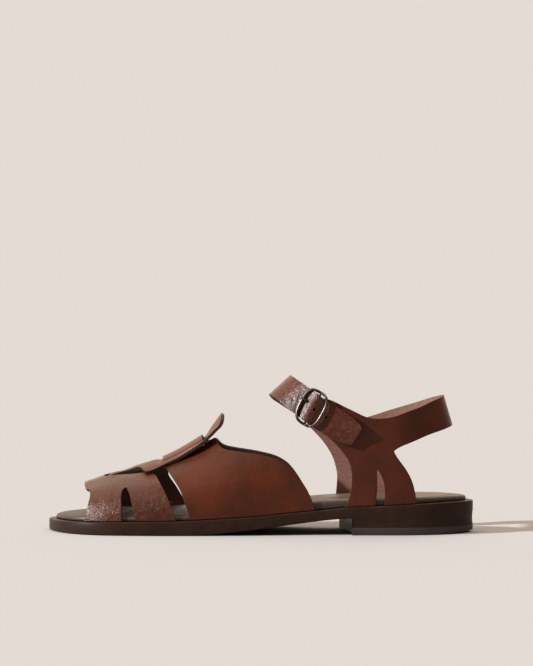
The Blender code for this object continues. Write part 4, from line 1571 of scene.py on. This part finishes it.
@dataclass
class StrapWork:
    """Holes punched in the ankle strap, and the box of stitches on its inner lap."""

    surface: AnkleSurface = field(default_factory=AnkleSurface)
    hole_radius: float = 0.95
    hole_places: tuple[tuple[float, float], ...] = ((1.6, 0.1), (9.9, -0.5))
    lap_box: tuple[tuple[float, float], ...] = ((61.2, 65.6), (45.4, 73.8), (37.5, 63.0), (54.6, 54.0))
    stitch_length: float = 2.1
    stitch_pitch: float = 2.9
    stitch_radius: float = 0.26
    stitch_level: float = 0.1
    punch_levels: tuple[float, float] = (-2.0, 8.0)

    def punch(self, strap: bpy.types.Object) -> None:
        """Cut the unused holes through the strap.

        Args:
            strap: Finished strap.
        """
        for along, across in self.hole_places:
            low, high = (Vector(self.surface.at_buckle(along, across, level)) * MM
                         for level in self.punch_levels)
            bpy.ops.object.select_all(action="DESELECT")
            bpy.ops.mesh.primitive_cylinder_add(vertices=24, radius=self.hole_radius * MM,
                                                depth=(high - low).length, location=(low + high) / 2,
                                                rotation=(high - low).to_track_quat("Z", "Y").to_euler())
            punch = bpy.context.active_object
            apply_modifier(strap, "BOOLEAN", operation="DIFFERENCE", solver="EXACT", object=punch)
            bpy.data.objects.remove(punch)

    def stitches(self) -> bpy.types.Object:
        """Sew the box of stitches.

        Returns:
            One piece that holds every stitch.
        """
        corners = [np.array(corner) for corner in self.lap_box]
        level = self.surface.strap_face + self.stitch_level
        made = []
        for start, end in zip(corners, corners[1:] + corners[:1]):
            count = max(2, round(float(np.linalg.norm(end - start)) / self.stitch_pitch))
            for k in range(count):
                places = (start + (end - start) * (k + share) / count for share in (0.5, 0.8))
                here, there = (Vector(self.surface.on_side(Side.INNER, x, z, level)) for x, z in places)
                bpy.ops.object.select_all(action="DESELECT")
                bpy.ops.mesh.primitive_uv_sphere_add(segments=10, ring_count=8, radius=1.0)
                stitch = bpy.context.active_object
                stitch.scale = (self.stitch_radius * MM, self.stitch_radius * MM, self.stitch_length / 2 * MM)
                stitch.location = here * MM
                stitch.rotation_euler = (there - here).to_track_quat("Z", "Y").to_euler()
                bpy.ops.object.transform_apply(location=True, rotation=True, scale=True)
                made.append(stitch)
        bpy.ops.object.select_all(action="DESELECT")
        for stitch in made:
            stitch.select_set(True)
        bpy.context.view_layer.objects.active = made[0]
        bpy.ops.object.join()
        made[0].name = made[0].data.name = "lap_stitches"
        return made[0]

    def build(self, strap: bpy.types.Object) -> None:
        """Punch the strap and sew its lap.

        Args:
            strap: Finished strap.
        """
        self.punch(strap)
        finish_piece(self.stitches(), (), (WaxedThread().material(),), angle=80.0)


@dataclass
class Studio:
    """Floor, sun, sky and camera."""

    floor_size_m: float = 120.0
    sun_strength: float = 7.0
    sun_angle: float = 1.6
    sun_heading: float = 20.5
    sun_fall: float = 0.5
    overhead_strength: float = 2.2
    overhead_angle: float = 90.0
    backdrop_strength: float = 2.0
    backdrop_angle: float = 95.0
    backdrop_fall: float = 0.42
    sun_colour: str = "#ffffff"
    soft_colour: str = "#ffe4ce"
    sky: str = "#e6d8c8"
    sky_strength: float = 0.42
    target: Point = (3.5, -47.0, 125.9)
    distance_m: float = 5.0
    elevation: float = 3.45
    lens: float = 437.6
    sensor_width: float = 36.0
    clip_end_m: float = 400.0

    def build(self) -> None:
        """Make the floor, the lights and the camera."""
        self.floor()
        self.lights()
        self.camera()

    def floor(self) -> None:
        """Lay one wide pale floor that also fills the background."""
        bpy.ops.object.select_all(action="DESELECT")
        bpy.ops.mesh.primitive_plane_add(size=self.floor_size_m)
        plane = bpy.context.active_object
        plane.name = "studio_floor"
        plane.data.materials.append(PaleFloor().material())

    def lights(self) -> None:
        """Low sun from the toe's side, soft light from above and from behind, and a faint sky."""
        turn = math.radians(self.sun_heading)
        self.sun("low_sun", Vector((math.cos(turn), math.sin(turn), -self.sun_fall)), self.sun_strength,
                 self.sun_angle, self.sun_colour)
        self.sun("backdrop_light", Vector((0.15, -1.0, -self.backdrop_fall)), self.backdrop_strength,
                 self.backdrop_angle, self.soft_colour)
        self.sun("overhead_light", Vector((0.0, 0.1, -1.0)), self.overhead_strength, self.overhead_angle,
                 self.soft_colour)
        world = bpy.data.worlds.new("even_sky")
        world.use_nodes = True
        background = world.node_tree.nodes["Background"]
        background.inputs["Color"].default_value = linear(self.sky)
        background.inputs["Strength"].default_value = self.sky_strength
        bpy.context.scene.world = world
        bpy.context.scene.view_settings.view_transform = "Standard"

    @staticmethod
    def sun(name: str, heading: Vector, strength: float, angle: float, colour: str) -> None:
        """Add one sun.

        Args:
            name: Name of the light.
            heading: Direction in which the light travels.
            strength: Strength in watts per square metre.
            angle: Apparent size in degrees.
            colour: sRGB hex colour.
        """
        bpy.ops.object.light_add(type="SUN")
        light = bpy.context.active_object
        light.name = name
        light.rotation_euler = heading.to_track_quat("-Z", "Y").to_euler()
        light.data.energy = strength
        light.data.angle = math.radians(angle)
        light.data.color = linear(colour)[:3]

    def camera(self) -> None:
        """Place the camera level with the sandal's outer side."""
        bpy.ops.object.camera_add()
        camera = bpy.context.active_object
        camera.name = "photo_camera"
        slope = math.radians(self.elevation)
        look = Vector((0.0, math.cos(slope), -math.sin(slope)))
        camera.location = Vector(self.target) * MM - look * self.distance_m
        camera.rotation_euler = look.to_track_quat("-Z", "Y").to_euler()
        camera.data.lens = self.lens
        camera.data.sensor_width = self.sensor_width
        camera.data.clip_end = self.clip_end_m
        bpy.context.scene.camera = camera


def main() -> None:
    """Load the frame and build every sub-assembly."""
    logging.basicConfig(level=logging.INFO, format="%(name)s %(message)s")
    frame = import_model()
    Studio().build()
    SoleUnit().build()
    Upper().build(frame["nodes"])
    StrapWork().build(bpy.data.objects["ankle_strap_leather"])
    Buckle().build()


if __name__ == "__main__":
    main()
